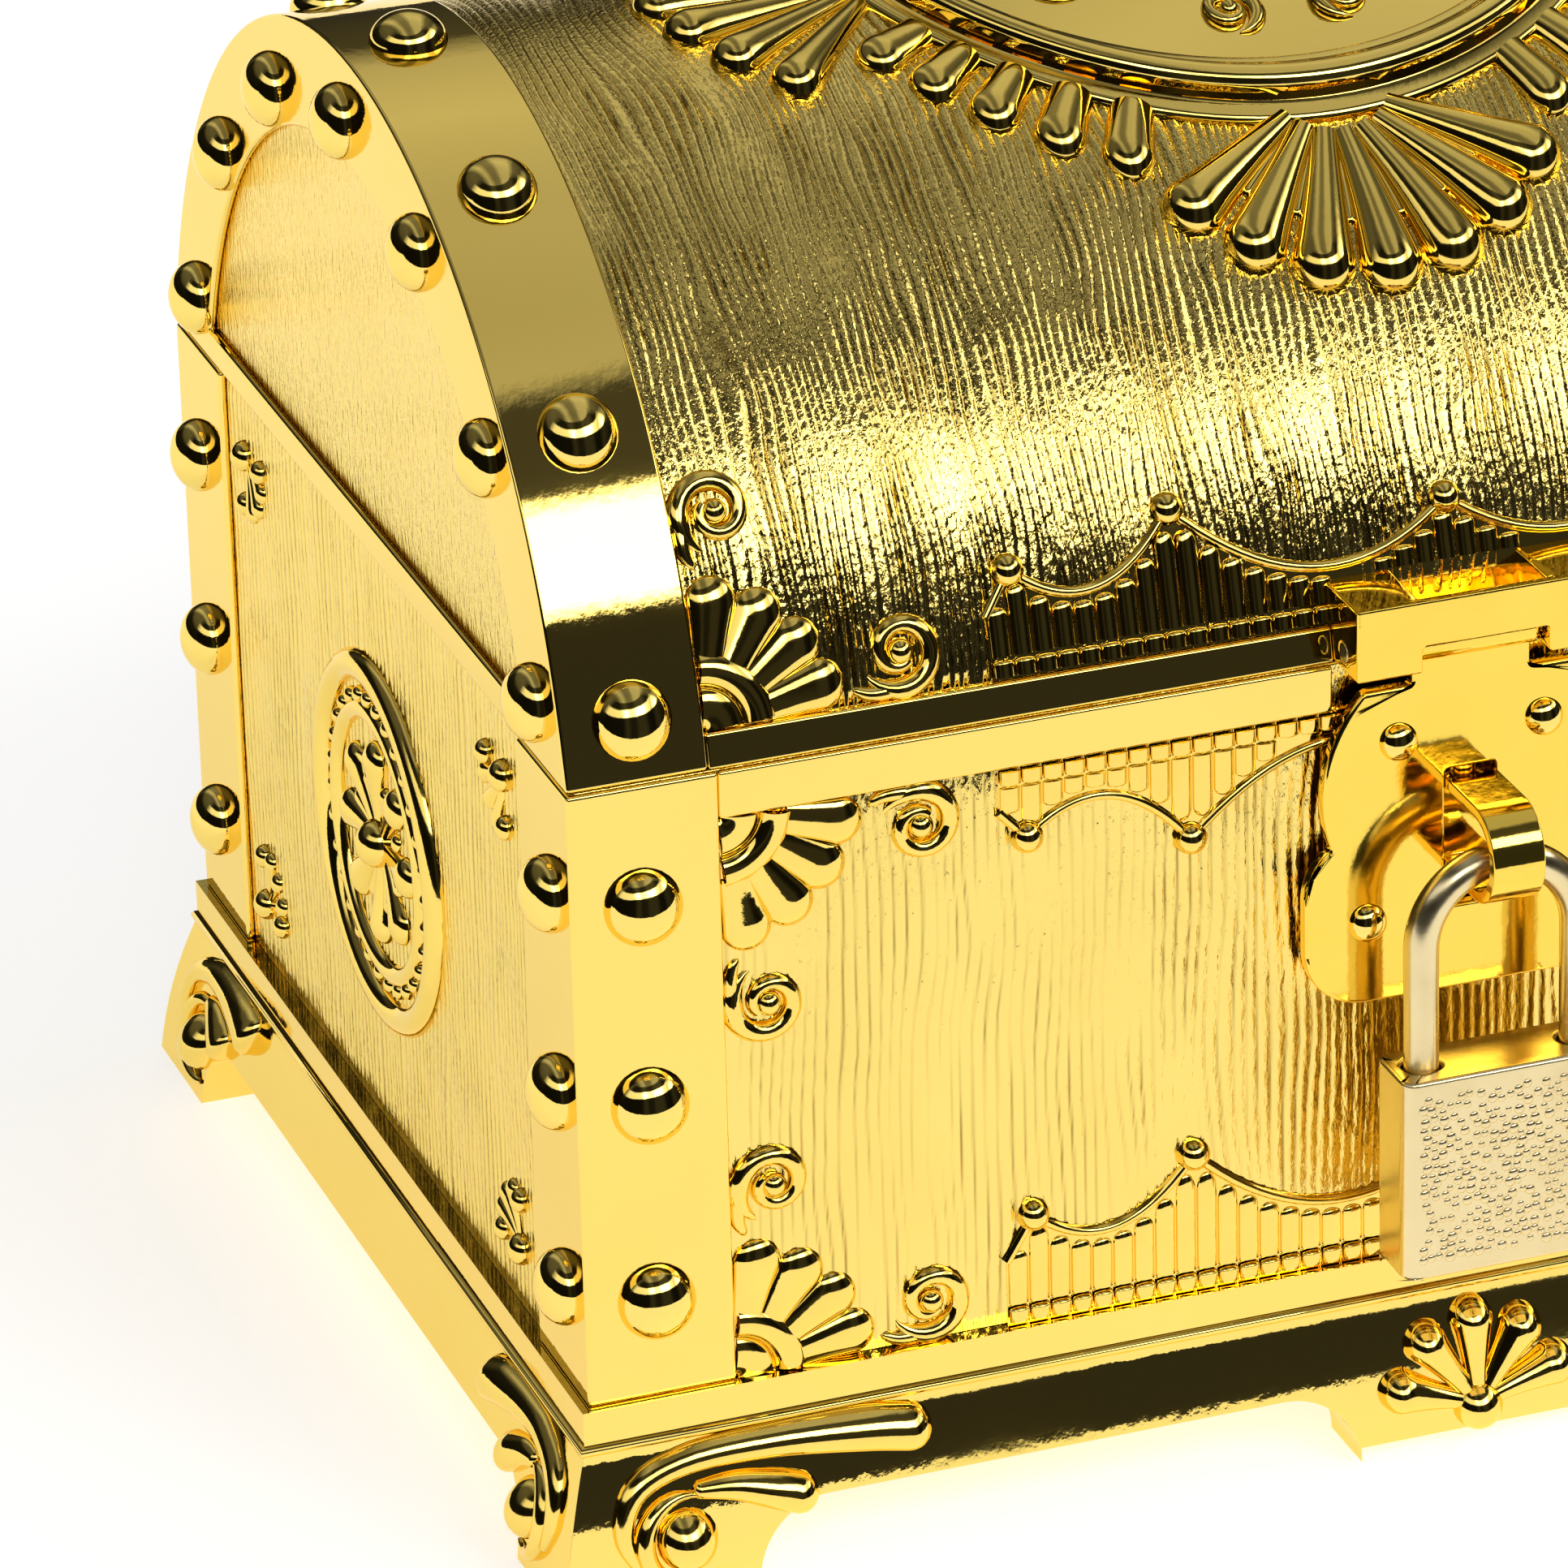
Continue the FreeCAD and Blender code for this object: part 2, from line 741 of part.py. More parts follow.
def make_straps():
    """Make the corner straps and the rim along the front edge."""
    for side, side_name in ((-1, "left"), (1, "right")):
        for face, face_name in ((-1, "front"), (1, "back")):
            outer = (half_length * side, half_depth * face)
            inner = (wall_x * side, wall_y * face)
            end_x = strap_edge * side
            end_y = (half_depth - d.strap_width) * face
            corners = [
                outer, (end_x, outer[1]), (end_x, inner[1]),
                inner, (inner[0], end_y), (outer[0], end_y),
            ]
            label = f"corner_strap_{face_name}_{side_name}"
            body = new_body(label)
            pad(body, outline(sketch(body, "XY_Plane", d.base_height), corners), d.body_height)
            node(body, label)
    left = span(-strap_edge, -d.box_rim_gap / 2, -half_depth, -wall_y, rim_bottom, seam_level)
    node(left, "front_rim_left")
    node(across(left), "front_rim_right")


def make_box_rivets():
    """Make the dome rivets on the corner straps."""
    rivets = []
    inset_x = half_length - d.rivet_inset
    inset_y = half_depth - d.side_rivet_inset
    pitch = (d.body_height - d.rivet_drop - d.rivet_foot) / 2
    for step in range(3):
        level = seam_level - d.rivet_drop - pitch * step
        for sign, turn in ((-1, FACING_FRONT), (1, FACING_BACK)):
            for x in (-inset_x, inset_x):
                rivets.append(dome(d.rivet_radius, d.rivet_rise, x, half_depth * sign, level, turn))
        for sign, turn in ((-1, FACING_LEFT), (1, FACING_RIGHT)):
            for y in (-inset_y, inset_y):
                rivets.append(dome(d.rivet_radius, d.rivet_rise, half_length * sign, y, level, turn))
    node(together(rivets), "box_rivets")


def corner_relief():
    """Return a quarter fan with a curl at each end, lying flat with its corner in the middle."""
    parts = flutes(FAN_ANGLES, d.fan_start, d.fan_reach, d.fan_root_radius, d.fan_tip_radius, -d.fan_sink)
    parts.append(rod(d.fan_hub_radius, d.relief * 4, 0, 0, d.relief * -2, angle=90))
    for x, y in ((d.curl_along, d.curl_across), (d.curl_across, d.curl_along)):
        parts += curl((x, y, -d.curl_sink), (x, y, -d.relief), UPRIGHT)
    return above_flat(union(parts), d.curl_along * 2)


def swag_radius(reach, sag):
    """Return the radius of a swag between two tips, from how far it sags."""
    chord_square = reach * reach + d.fringe_step * d.fringe_step
    return (chord_square / 4 + sag * sag) / (sag * 2)


def fringe(level, height, sign, lift, thickness):
    """Return a scalloped border that stands up from a level or hangs from it."""
    inner = fringe_inner
    outer = fringe_outer
    end = fringe_end
    long_tip = level + (height + d.fringe_step) * sign
    short_tip = level + height * sign
    end_tip = level + height * fringe_end_share * sign
    corners = [
        (-end, level), (end, level), (end, end_tip), (outer, short_tip), (inner, long_tip),
        (0, short_tip), (-inner, long_tip), (-outer, short_tip), (-end, end_tip),
    ]
    outer_curve = (swag_radius(outer - inner, d.fringe_outer_sag), -sign)
    inner_curve = (swag_radius(inner, d.fringe_inner_sag), -sign)
    arcs = {3: outer_curve, 4: inner_curve, 5: inner_curve, 6: outer_curve}
    body = new_body("fringe")
    pad(body, outline(sketch(body, "XZ_Plane", lift), corners, arcs), thickness)
    return body


def make_front_ornament():
    """Make the corner fans and the two fringes on the front of the box."""
    mid_level = (d.base_height + rim_bottom) / 2
    lower_left = place(corner_relief(), -strap_edge, -wall_y, d.base_height, FACING_FRONT)
    upper_left = mirrored(lower_left, Vector(0, 0, 1), mid_level)
    node(lower_left, "front_corner_lower_left")
    node(upper_left, "front_corner_upper_left")
    node(across(lower_left), "front_corner_lower_right")
    node(across(upper_left), "front_corner_upper_right")
    inner = fringe_inner
    outer = fringe_outer
    low = d.base_height + d.lower_fringe_height
    high = rim_bottom - d.upper_fringe_height
    front = half_depth + d.bead_radius
    outside = span(-half_length, half_length, -front, -wall_y, d.base_height, seam_level)
    below = [fringe(d.base_height, d.lower_fringe_height, 1, wall_y, d.relief)]
    below += [ball(d.bead_radius, x, -wall_y, low) for x in (-outer, 0, outer)]
    below += [ball(d.bead_radius, x, -wall_y, low + d.fringe_step) for x in (-inner, inner)]
    above = [fringe(rim_bottom, d.upper_fringe_height, -1, wall_y, d.relief)]
    above += [ball(d.bead_radius, x, -wall_y, high) for x in (-outer, outer)]
    above += [ball(d.bead_radius, x, -wall_y, high - d.fringe_step) for x in (-inner, inner)]
    node(shared(union(below), outside), "front_fringe_lower")
    node(shared(union(above), outside), "front_fringe_upper")


def make_end_ornament():
    """Make the round medallion and the bead sprays on each end of the box."""
    plate = rod(d.end_medallion_radius, d.relief)
    cord = ring(d.end_medallion_ring, d.end_medallion_cord, 0, 0, d.relief)
    raised = above_flat(union(rosette() + [plate, cord]), d.end_medallion_radius * 2)
    left = place(raised, -wall_x, 0, d.base_height + d.body_height / 2, FACING_LEFT)
    node(left, "end_medallion_left")
    node(across(left), "end_medallion_right")
    beads = []
    edge = half_depth - d.spray_inset
    for step, share in enumerate(spray_shares, start=1):
        radius = d.bead_radius * share
        for level in (d.base_height + d.spray_step * step, seam_level - d.spray_step * step):
            for y in (-edge, edge):
                beads.append(dome(radius, radius, -wall_x, y, level, FACING_LEFT))
    spray = together(beads)
    node(spray, "bead_sprays_left")
    node(across(spray), "bead_sprays_right")


def make_lid_shell():
    """Make the hollow barrel lid."""
    body = new_body("lid_shell")
    rise = lid_bottom - lid_axis
    half_chord = root(shell_radius * shell_radius - rise * rise)
    corners = [(-half_chord, lid_bottom), (half_chord, lid_bottom)]
    section = outline(sketch(body, "YZ_Plane"), corners, {1: (shell_radius, 1)})
    pad(body, section, wall_x * 2, both_ways=True)
    inner_radius = shell_radius - d.lid_wall
    floor = lid_bottom - d.overrun
    depth = floor - lid_axis
    inner_chord = root(inner_radius * inner_radius - depth * depth)
    corners = [(-inner_chord, floor), (inner_chord, floor)]
    cavity = outline(sketch(body, "YZ_Plane"), corners, {1: (inner_radius, 1)})
    pocket(body, cavity, (wall_x - d.lid_wall) * 2, both_ways=True)
    node(body, "lid_shell")


def lid_skin(x0, x1, thickness):
    """Return a tube about the lid's axis that lies on the shell."""
    length = x1 - x0
    outer = rod(shell_radius + thickness, length, x0, 0, lid_axis, ALONG_X)
    bore = rod(shell_radius, length + d.overrun * 2, x0 - d.overrun, 0, lid_axis, ALONG_X)
    return without(outer, bore)


def make_lid_bands():
    """Make the arched bands with their end frames, and the strips along the front edge."""
    top = lid_bottom + d.lid_rise + d.overrun
    reach = half_depth + d.overrun
    wrap = lid_skin(-half_length, -band_edge, d.strap_proud)
    plate = rod(lid_radius, d.strap_proud, -half_length, 0, lid_axis, ALONG_X)
    start = -half_length - d.overrun
    length = d.strap_proud + d.overrun * 2
    opening = rod(lid_radius - d.end_frame_width, length, start, 0, lid_axis, ALONG_X)
    over_rail = span(start, start + length, -reach, reach, lid_rim_top, top)
    frame = without(plate, shared(opening, over_rail))
    over_seam = span(-half_length, half_length, -reach, reach, lid_bottom, top)
    band = shared(union([wrap, frame]), over_seam)
    node(band, "lid_band_left")
    node(across(band), "lid_band_right")
    half_bracket = d.bracket_width / 2
    strip = lid_skin(-band_edge, -half_bracket, d.strap_proud)
    left = shared(strip, span(-band_edge, -half_bracket, -reach, 0, lid_bottom, lid_rim_top))
    node(left, "lid_rim_left")
    node(across(left), "lid_rim_right")


def make_lid_rivets():
    """Make the dome rivets on the lid's bands and end frames."""
    on_bands = []
    on_ends = []
    inset = half_length - d.rivet_inset
    for angle in LID_RIVET_ANGLES:
        turn = Rotation(Vector(1, 0, 0), angle)
        for x in (-inset, inset):
            on_bands.append(dome(d.rivet_radius, d.rivet_rise, *lid_spot(x, angle, lid_radius), turn))
    end_radius = lid_radius - d.end_rivet_inset
    for angle in END_RIVET_ANGLES:
        for x, turn in ((-half_length, ALONG_MINUS_X), (half_length, ALONG_X)):
            on_ends.append(dome(d.rivet_radius, d.rivet_rise, *lid_spot(x, angle, end_radius), turn))
    node(together(on_bands), "lid_band_rivets")
    node(together(on_ends), "lid_end_rivets")


def lid_spot(x, angle, radius):
    """Return a place at an angle from the crown of the lid towards the front, at a radius."""
    return x, radius * -sine(angle), lid_axis + radius * cosine(angle)


def lid_angle(length):
    """Return the angle that a length covers on the lid."""
    return math.degrees(number(length) / number(shell_radius))


def lid_flutes(x, angle, radius, aims, start, reach, root_radius, tip_radius):
    """Return flutes fanned about a place on the lid, each along its own chord of the curve.

    An aim of 0 points to the right along the lid, and an aim of 90 points up to the crown.
    """
    parts = []
    for aim in aims:
        begin = lid_spot(x + start * cosine(aim), angle - lid_angle(start) * sine(aim), radius)
        end = lid_spot(x + reach * cosine(aim), angle - lid_angle(reach) * sine(aim), radius)
        run = [last - first for first, last in zip(begin, end)]
        height = root(run[0] * run[0] + run[1] * run[1] + run[2] * run[2])
        along = Vector(*(part.value for part in run))
        parts.append(cone(root_radius, tip_radius, height, *begin, along))
        parts.append(ball(tip_radius, *end))
    return parts


def crown_fan_flute(turn):
    """Return one flute of the fan that stands square to the medallion's edge, at a turn from its end."""
    x = d.medallion_length / -2 * cosine(turn)
    y = number(d.medallion_width) / 2 * sine(turn)
    angle = math.degrees(math.asin(y / number(shell_radius)))
    along = cosine(turn) * number(d.medallion_width)
    aim = math.degrees(math.atan2(sine(turn) * number(d.medallion_length), along)) - 180
    start = d.collar_width + d.crown_fan_gap
    return lid_flutes(
        x, angle, shell_radius, (aim,),
        start, d.crown_fan_reach, d.crown_fan_root_radius, d.crown_fan_tip_radius,
    )


def make_crown():
    """Make the medallion on the crown of the lid with its relief, and the ornament round it."""
    outer_radius = shell_radius + d.medallion_rise
    floor_radius = shell_radius + d.medallion_floor
    top = lid_bottom + d.lid_rise + d.medallion_rise + d.overrun
    prism = oval_prism(d.medallion_length, d.medallion_width, lid_axis, top)
    collar_half_length = d.medallion_length / 2 + d.collar_width
    collar_half_width = d.medallion_width / 2 + d.collar_width
    collar_prism = oval_prism(collar_half_length * 2, collar_half_width * 2, lid_axis, top)
    collar = shared(collar_prism, lid_roller(shell_radius + d.collar_rise, half_length))
    full = union([shared(prism, lid_roller(outer_radius, half_length)), collar])
    inner_length = d.medallion_length - d.medallion_rim * 2
    inner_width = d.medallion_width - d.medallion_rim * 2
    dish = oval_prism(inner_length, inner_width, lid_axis, top)
    recess = without(dish, lid_roller(floor_radius, half_length))
    node(on_lid(without(full, recess)), "lid_medallion")
    relief = union(rosette() + [ring(d.end_medallion_ring, d.end_medallion_cord)])
    place(relief, 0, 0, lid_axis + floor_radius)
    node(without(relief, lid_roller(floor_radius, half_length)), "medallion_relief")

    shell = lid_flutes(
        0, CROWN_SHELL_ANGLE, shell_radius, CROWN_SHELL_AIMS,
        d.shell_start, d.shell_reach, d.shell_root_radius, d.shell_tip_radius,
    )
    front_curve = collar_half_length * collar_half_length / collar_half_width
    front_cover = rod(front_curve, top - lid_axis, 0, front_curve - collar_half_width, lid_axis)
    front = without(on_lid(union(shell)), front_cover)
    node(front, "crown_shell_front")
    node(behind(front), "crown_shell_back")
    palmette = lid_flutes(
        d.shell_start - d.medallion_length / 2, 0.0, shell_radius, PALMETTE_AIMS,
        d.shell_start, d.palmette_reach, d.shell_root_radius, d.palmette_tip_radius,
    )
    end_curve = collar_half_width * collar_half_width / collar_half_length * end_cover_share
    end_cover = rod(end_curve, top - lid_axis, end_curve - collar_half_length, 0, lid_axis)
    left = without(on_lid(union(palmette)), end_cover)
    node(left, "crown_palmette_left")
    node(across(left), "crown_palmette_right")
    fan = []
    for turn in CROWN_FAN_TURNS:
        fan += crown_fan_flute(turn)
    front_left = on_lid(union(fan))
    back_left = behind(front_left)
    node(together([front_left, across(front_left), back_left, across(back_left)]), "crown_fans")


def make_lid_front_ornament():
    """Make the fringe and the corner fans along the front edge of the lid."""
    inner = fringe_inner
    outer = fringe_outer
    end = fringe_end
    low = lid_rim_top + d.lid_fringe_height
    high = low + d.fringe_step
    skin = lid_skin(-end, end, d.relief)
    border = fringe(lid_rim_top, d.lid_fringe_height, 1, half_depth / 2, half_depth)
    parts = [shared(skin, border)]
    for x, level in ((-outer, low), (-inner, high), (0, low), (inner, high), (outer, low)):
        rise = level - lid_axis
        parts.append(ball(d.bead_radius, x, -root(shell_radius * shell_radius - rise * rise), level))
    half_bracket = d.bracket_width / 2
    past = half_depth + d.overrun
    bracket_top = lid_bottom + d.bracket_height
    behind_bracket = span(-half_bracket, half_bracket, -past, 0, lid_bottom, bracket_top)
    inside = union([lid_roller(shell_radius, half_length), behind_bracket])
    node(without(union(parts), inside), "lid_fringe")

    angle = math.degrees(math.acos(number((lid_rim_top - lid_axis) / shell_radius)))
    x = -band_edge
    sunk = shell_radius - d.fan_sink
    petals = lid_flutes(
        x, angle, sunk, FAN_ANGLES, d.fan_start, d.fan_reach, d.fan_root_radius, d.fan_tip_radius
    )
    turn = Rotation(Vector(1, 0, 0), angle)
    hub_foot = lid_spot(x, angle, shell_radius - d.overrun * 2)
    hub = rod(d.fan_hub_radius, d.overrun * 4, *hub_foot, turn, 90)
    low_hub = shared(hub, lid_roller(shell_radius + d.relief * 2, half_length))
    fan = on_lid(union(petals + [low_hub]))
    parts = [fan]
    for along, up in ((d.curl_along, d.curl_across), (d.curl_across, d.curl_along)):
        tilt = angle - lid_angle(up)
        spot = lid_spot(x + along, tilt, shell_radius - d.curl_sink)
        foot = lid_spot(x + along, tilt, shell_radius - d.relief)
        parts.append(on_lid(union(curl(spot, foot, Rotation(Vector(1, 0, 0), tilt)))))
    left = together(parts)
    node(left, "lid_corner_left")
    node(across(left), "lid_corner_right")


def make_hinges():
    """Make the two back hinges with their pins."""
    half_width = d.hinge_width / 2
    third = d.hinge_width / 3
    middle_half = third / 2 - d.side_gap
    leaf_face = wall_y + d.leaf_thickness
    leaf_bottom = seam_level - d.leaf_height
    leaf_top = lid_bottom + d.leaf_height
    past = half_depth + d.overrun
    middle = d.hinge_inset - strap_edge
    near = middle - half_width
    far = middle + half_width
    leaf = [span(near, far, wall_y, leaf_face, leaf_bottom, seam_level)]
    for start in (near, far - third):
        leaf.append(rod(d.knuckle_radius, third, start, hinge_y, hinge_z, ALONG_X))
        leaf.append(span(start, start + third, wall_y, hinge_y, hinge_z - d.knuckle_radius, seam_level))
    bore = cross_rod(d.hinge_pin_radius, half_width + d.overrun, hinge_y, hinge_z, middle)
    box_leaf = without(union(leaf), bore)
    node(box_leaf, "hinge_box_leaf_left")
    node(across(box_leaf), "hinge_box_leaf_right")
    pin = cross_rod(d.hinge_pin_radius, half_width, hinge_y, hinge_z, middle)
    node(pin, "hinge_pin_left")
    node(across(pin), "hinge_pin_right")
    skin = shared(lid_skin(near, far, d.leaf_thickness), span(near, far, 0, past, lid_bottom, leaf_top))
    low = middle - middle_half
    high = middle + middle_half
    arm = span(low, high, half_depth - d.overrun, hinge_y, lid_bottom, hinge_z + d.knuckle_radius)
    barrel = cross_rod(d.knuckle_radius, middle_half, hinge_y, hinge_z, middle)
    bore = cross_rod(d.hinge_pin_radius + d.running_gap, middle_half + d.overrun, hinge_y, hinge_z, middle)
    lid_leaf = without(on_lid(union([skin, arm, barrel])), bore)
    node(lid_leaf, "hinge_lid_leaf_left")
    node(across(lid_leaf), "hinge_lid_leaf_right")


def make_hasp():
    """Make the hasp with its bracket, pin, rivets and staple."""
    half_bracket = d.bracket_width / 2
    front = half_depth + d.bracket_reach
    inside = half_depth - d.bracket_reach
    top = lid_bottom + d.bracket_height
    left = span(-half_bracket, -neck_half, -front, -inside, lid_bottom, top)
    right = span(neck_half, half_bracket, -front, -inside, lid_bottom, top)
    bridge_face = d.bridge_thickness - front
    bridge = span(-half_bracket, half_bracket, -front, bridge_face, top - d.bridge_height, top)
    bore = cross_rod(d.hasp_pin_radius, half_bracket + d.overrun, hasp_pin_y, hasp_pin_z)
    node(without(on_lid(union([left, right, bridge])), bore), "hasp_bracket")
    node(cross_rod(d.hasp_pin_radius, half_bracket, hasp_pin_y, hasp_pin_z), "hasp_pin")

    body = new_body("hasp_plate")
    back = half_depth + d.hasp_gap
    face = back + d.hasp_thickness
    lobe = disc(sketch(body, "XZ_Plane", back), d.hasp_lobe_radius, 0, seam_level - d.hasp_lobe_drop)
    pad(body, lobe, d.hasp_thickness)
    shoulder = seam_level - d.hasp_shoulder_drop
    wide = d.hasp_lobe_radius + d.overrun
    trim = rectangle(sketch(body, "XZ_Plane", face), -wide, wide, shoulder, shoulder + d.hasp_lobe_radius)
    pocket(body, trim, d.hasp_thickness)
    foot_half = d.hasp_foot_width / 2
    foot = round_rectangle(
        sketch(body, "XZ_Plane", back), -foot_half, foot_half,
        seam_level - d.hasp_foot_bottom, seam_level - d.hasp_foot_top, d.hasp_foot_corner,
    )
    pad(body, foot, d.hasp_thickness)
    half_neck = neck_half - d.side_gap
    neck_bottom = seam_level - d.hasp_lobe_drop
    neck = rectangle(sketch(body, "XZ_Plane", back), -half_neck, half_neck, neck_bottom, hasp_pin_z)
    pad(body, neck, d.hasp_thickness)
    knuckle = disc(sketch(body, "YZ_Plane"), d.hasp_knuckle_radius, hasp_pin_y, hasp_pin_z)
    pad(body, knuckle, half_neck * 2, both_ways=True)
    eye = disc(sketch(body, "YZ_Plane"), d.hasp_pin_radius + d.running_gap, hasp_pin_y, hasp_pin_z)
    pocket(body, eye, half_neck * 2 + d.overrun, both_ways=True)
    half_slot = d.staple_width / 2
    slot = rectangle(
        sketch(body, "XZ_Plane", face), -half_slot, half_slot,
        seam_level - d.hasp_slot_bottom, seam_level - d.hasp_slot_top,
    )
    pocket(body, slot, d.hasp_thickness)
    node(body, "hasp_plate")

    rivets = []
    for x, drop in (
        (d.hasp_upper_rivet_place, d.hasp_upper_rivet_drop),
        (d.hasp_lower_rivet_place, d.hasp_lower_rivet_drop),
    ):
        for place_x in (-x, x):
            level = seam_level - drop
            rivets.append(dome(d.hasp_rivet_radius, d.hasp_rivet_rise, place_x, -face, level, FACING_FRONT))
    node(together(rivets), "hasp_rivets")

    outer = d.eye_radius + d.staple_thickness
    web_face = -(back + d.staple_web)
    loop = union([
        cross_rod(outer, half_slot, eye_y, eye_z),
        span(-half_slot, half_slot, eye_y, -back, eye_z - outer, eye_z + outer),
    ])
    past = half_slot + d.overrun
    hole = union([
        cross_rod(d.eye_radius, past, eye_y, eye_z),
        span(-past, past, eye_y, web_face, eye_z - d.eye_radius, eye_z + d.eye_radius),
    ])
    node(without(loop, hole), "staple")


def make_padlock():
    """Make the padlock: shackle, case, key plug and latch."""
    bend_z = wire_z - d.shackle_half_span
    radius = d.shackle_radius
    latch_half = d.latch_height / 2
    gap = d.latch_clearance
    bend = ring(d.shackle_half_span, radius, 0, eye_y, bend_z, FACING_FRONT, 180)
    legs = []
    for x, depth in ((long_leg_x, d.long_leg), (-long_leg_x, d.short_leg)):
        end = case_top - depth
        legs.append(rod(radius, bend_z - end, x, eye_y, end))
    inner_face = long_leg_x + radius
    notch_floor = inner_face - d.latch_bite - gap
    notch_top = latch_z + latch_half + gap
    notch_bottom = latch_z - latch_half - gap
    ramp_end = notch_bottom - d.notch_ramp
    notch = new_body("notch")
    corners = [
        (notch_floor, notch_bottom), (inner_face, ramp_end), (long_leg_x + radius * 2, ramp_end),
        (long_leg_x + radius * 2, notch_top), (notch_floor, notch_top),
    ]
    section = outline(sketch(notch, "XZ_Plane", -eye_y), corners)
    pad(notch, section, radius * 4, both_ways=True)
    node(without(union([bend] + legs), notch), "padlock_shackle")

    body = new_body("padlock_block")
    half_width = d.case_width / 2
    half_thick = d.case_thickness / 2
    plan = round_rectangle(
        sketch(body, "XY_Plane", case_bottom), -half_width, half_width,
        eye_y - half_thick, eye_y + half_thick, d.case_corner,
    )
    pad(body, plan, d.case_height)
    for x, depth in ((long_leg_x, d.long_leg), (-long_leg_x, d.short_leg)):
        hole = disc(sketch(body, "XY_Plane", case_top), radius + d.leg_clearance, x, eye_y)
        pocket(body, hole, depth + d.side_gap)
    plug_hole = d.plug_length + d.side_gap
    bore = disc(sketch(body, "XY_Plane", case_bottom + plug_hole), d.plug_radius + d.running_gap, 0, eye_y)
    pocket(body, bore, plug_hole)
    latch_tip = inner_face - d.latch_bite
    latch_end = latch_tip + d.latch_length
    latch_side = d.latch_thickness / 2
    channel = span(
        long_leg_x, latch_end + d.latch_travel + gap, eye_y - latch_side - gap, eye_y + latch_side + gap,
        latch_z - latch_half - gap, latch_z + latch_half + gap,
    )
    node(without(body, channel), "padlock_case")
    plug = rod(d.plug_radius, d.plug_length, 0, eye_y, case_bottom)
    half_key = d.keyway_width / 2
    key_side = d.plug_radius * keyway_share
    keyway = span(
        -half_key, half_key, eye_y - key_side, eye_y + key_side,
        case_bottom - d.overrun, case_bottom + d.keyway_depth,
    )
    node(without(plug, keyway), "padlock_plug")
    latch = span(
        latch_tip, latch_end, eye_y - latch_side, eye_y + latch_side,
        latch_z - latch_half, latch_z + latch_half,
    )
    node(latch, "padlock_latch")


def write_pieces():
    """Check every object and write each piece to its own file."""
    doc.recompute()
    for item in doc.Objects:
        if "Invalid" in item.State or "Error" in item.State:
            raise ValueError(f"{item.Name} did not build")
    os.makedirs("parts", exist_ok=True)
    for item in nodes:
        shape = item.Shape
        if shape.isNull() or not shape.isValid() or not shape.Solids:
            raise ValueError(f"{item.Label} has no valid solid")
        shape.exportStep(f"parts/{item.Label}.step")


def main():
    """Make every piece and write it."""
    block = make_base_block()
    make_box()
    make_base(block)
    make_foot_scrolls(block)
    make_apron_shells(block)
    make_straps()
    make_box_rivets()
    make_front_ornament()
    make_end_ornament()
    make_lid_shell()
    make_lid_bands()
    make_lid_rivets()
    make_crown()
    make_lid_front_ornament()
    make_hinges()
    make_hasp()
    make_padlock()
    write_pieces()


main()
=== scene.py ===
"""Dresses a gilt treasure chest box: plated walls, relief ornament, hasp and padlock."""

import logging
import math
from collections.abc import Callable, Iterable, Sequence
from dataclasses import dataclass, field
from enum import Enum
from typing import Protocol

import bmesh
import bpy
import numpy as np
from mathutils import Matrix, Vector


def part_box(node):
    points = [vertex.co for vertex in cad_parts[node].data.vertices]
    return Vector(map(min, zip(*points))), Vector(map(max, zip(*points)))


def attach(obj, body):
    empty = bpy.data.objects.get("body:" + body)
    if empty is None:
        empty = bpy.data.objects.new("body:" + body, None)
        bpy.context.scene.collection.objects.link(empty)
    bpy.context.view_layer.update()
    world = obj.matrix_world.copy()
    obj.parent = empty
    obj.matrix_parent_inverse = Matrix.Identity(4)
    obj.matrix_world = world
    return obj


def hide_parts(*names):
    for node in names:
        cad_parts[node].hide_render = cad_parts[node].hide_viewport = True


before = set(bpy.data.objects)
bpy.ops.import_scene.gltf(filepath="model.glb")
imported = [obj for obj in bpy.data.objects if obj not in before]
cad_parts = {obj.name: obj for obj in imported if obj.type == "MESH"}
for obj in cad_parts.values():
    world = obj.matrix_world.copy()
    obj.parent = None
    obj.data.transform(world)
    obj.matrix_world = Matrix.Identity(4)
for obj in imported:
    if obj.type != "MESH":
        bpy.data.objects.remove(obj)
log = logging.getLogger("treasure_chest")

MM = 0.001
MIDDLE = sum(corner.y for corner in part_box("chest_box")) / 2
FULL_TURN = 2 * math.pi
SIGNS = (-1, 1)
SIDES = ((-1, "left"), (1, "right"))
FACES = ((-1, "front"), (1, "back"))

# Depth of an ornament's foot under its face in millimetres, and the angles that stay crisp
SINK = 0.3
CREASE = 60.0
FINE_CREASE = 80.0

# Copies of nodes: what is welded in millimetres, and the angles of flat faces and of edges
WELD = 0.002
FLAT_ANGLE = 0.5
EDGE_ANGLE = 32.0

# Plating: detail of haze and grain, the haze's range, and the grain's depth in millimetres
HAZE_DETAIL, HAZE_LOW, HAZE_HIGH = 5.0, 0.35, 0.75
GRAIN_DETAIL, GRAIN_DEPTH = 3.0, 0.2

# Cells of the noise lattice, and a shift that keeps its places above zero
LATTICE = 97
NOISE_SHIFT = 300.0

# Sockets that only their number tells apart
FACTOR, MIX_A, MIX_B, MIX_OUT = 0, 6, 7, 2
RANDOM_LOW, RANDOM_HIGH, RANDOM_OUT = 2, 3, 1

Colour = tuple[float, float, float]
Spot = tuple[float, float, float]
Point = tuple[float, float]
Tree = bpy.types.NodeTree
Node = bpy.types.Node


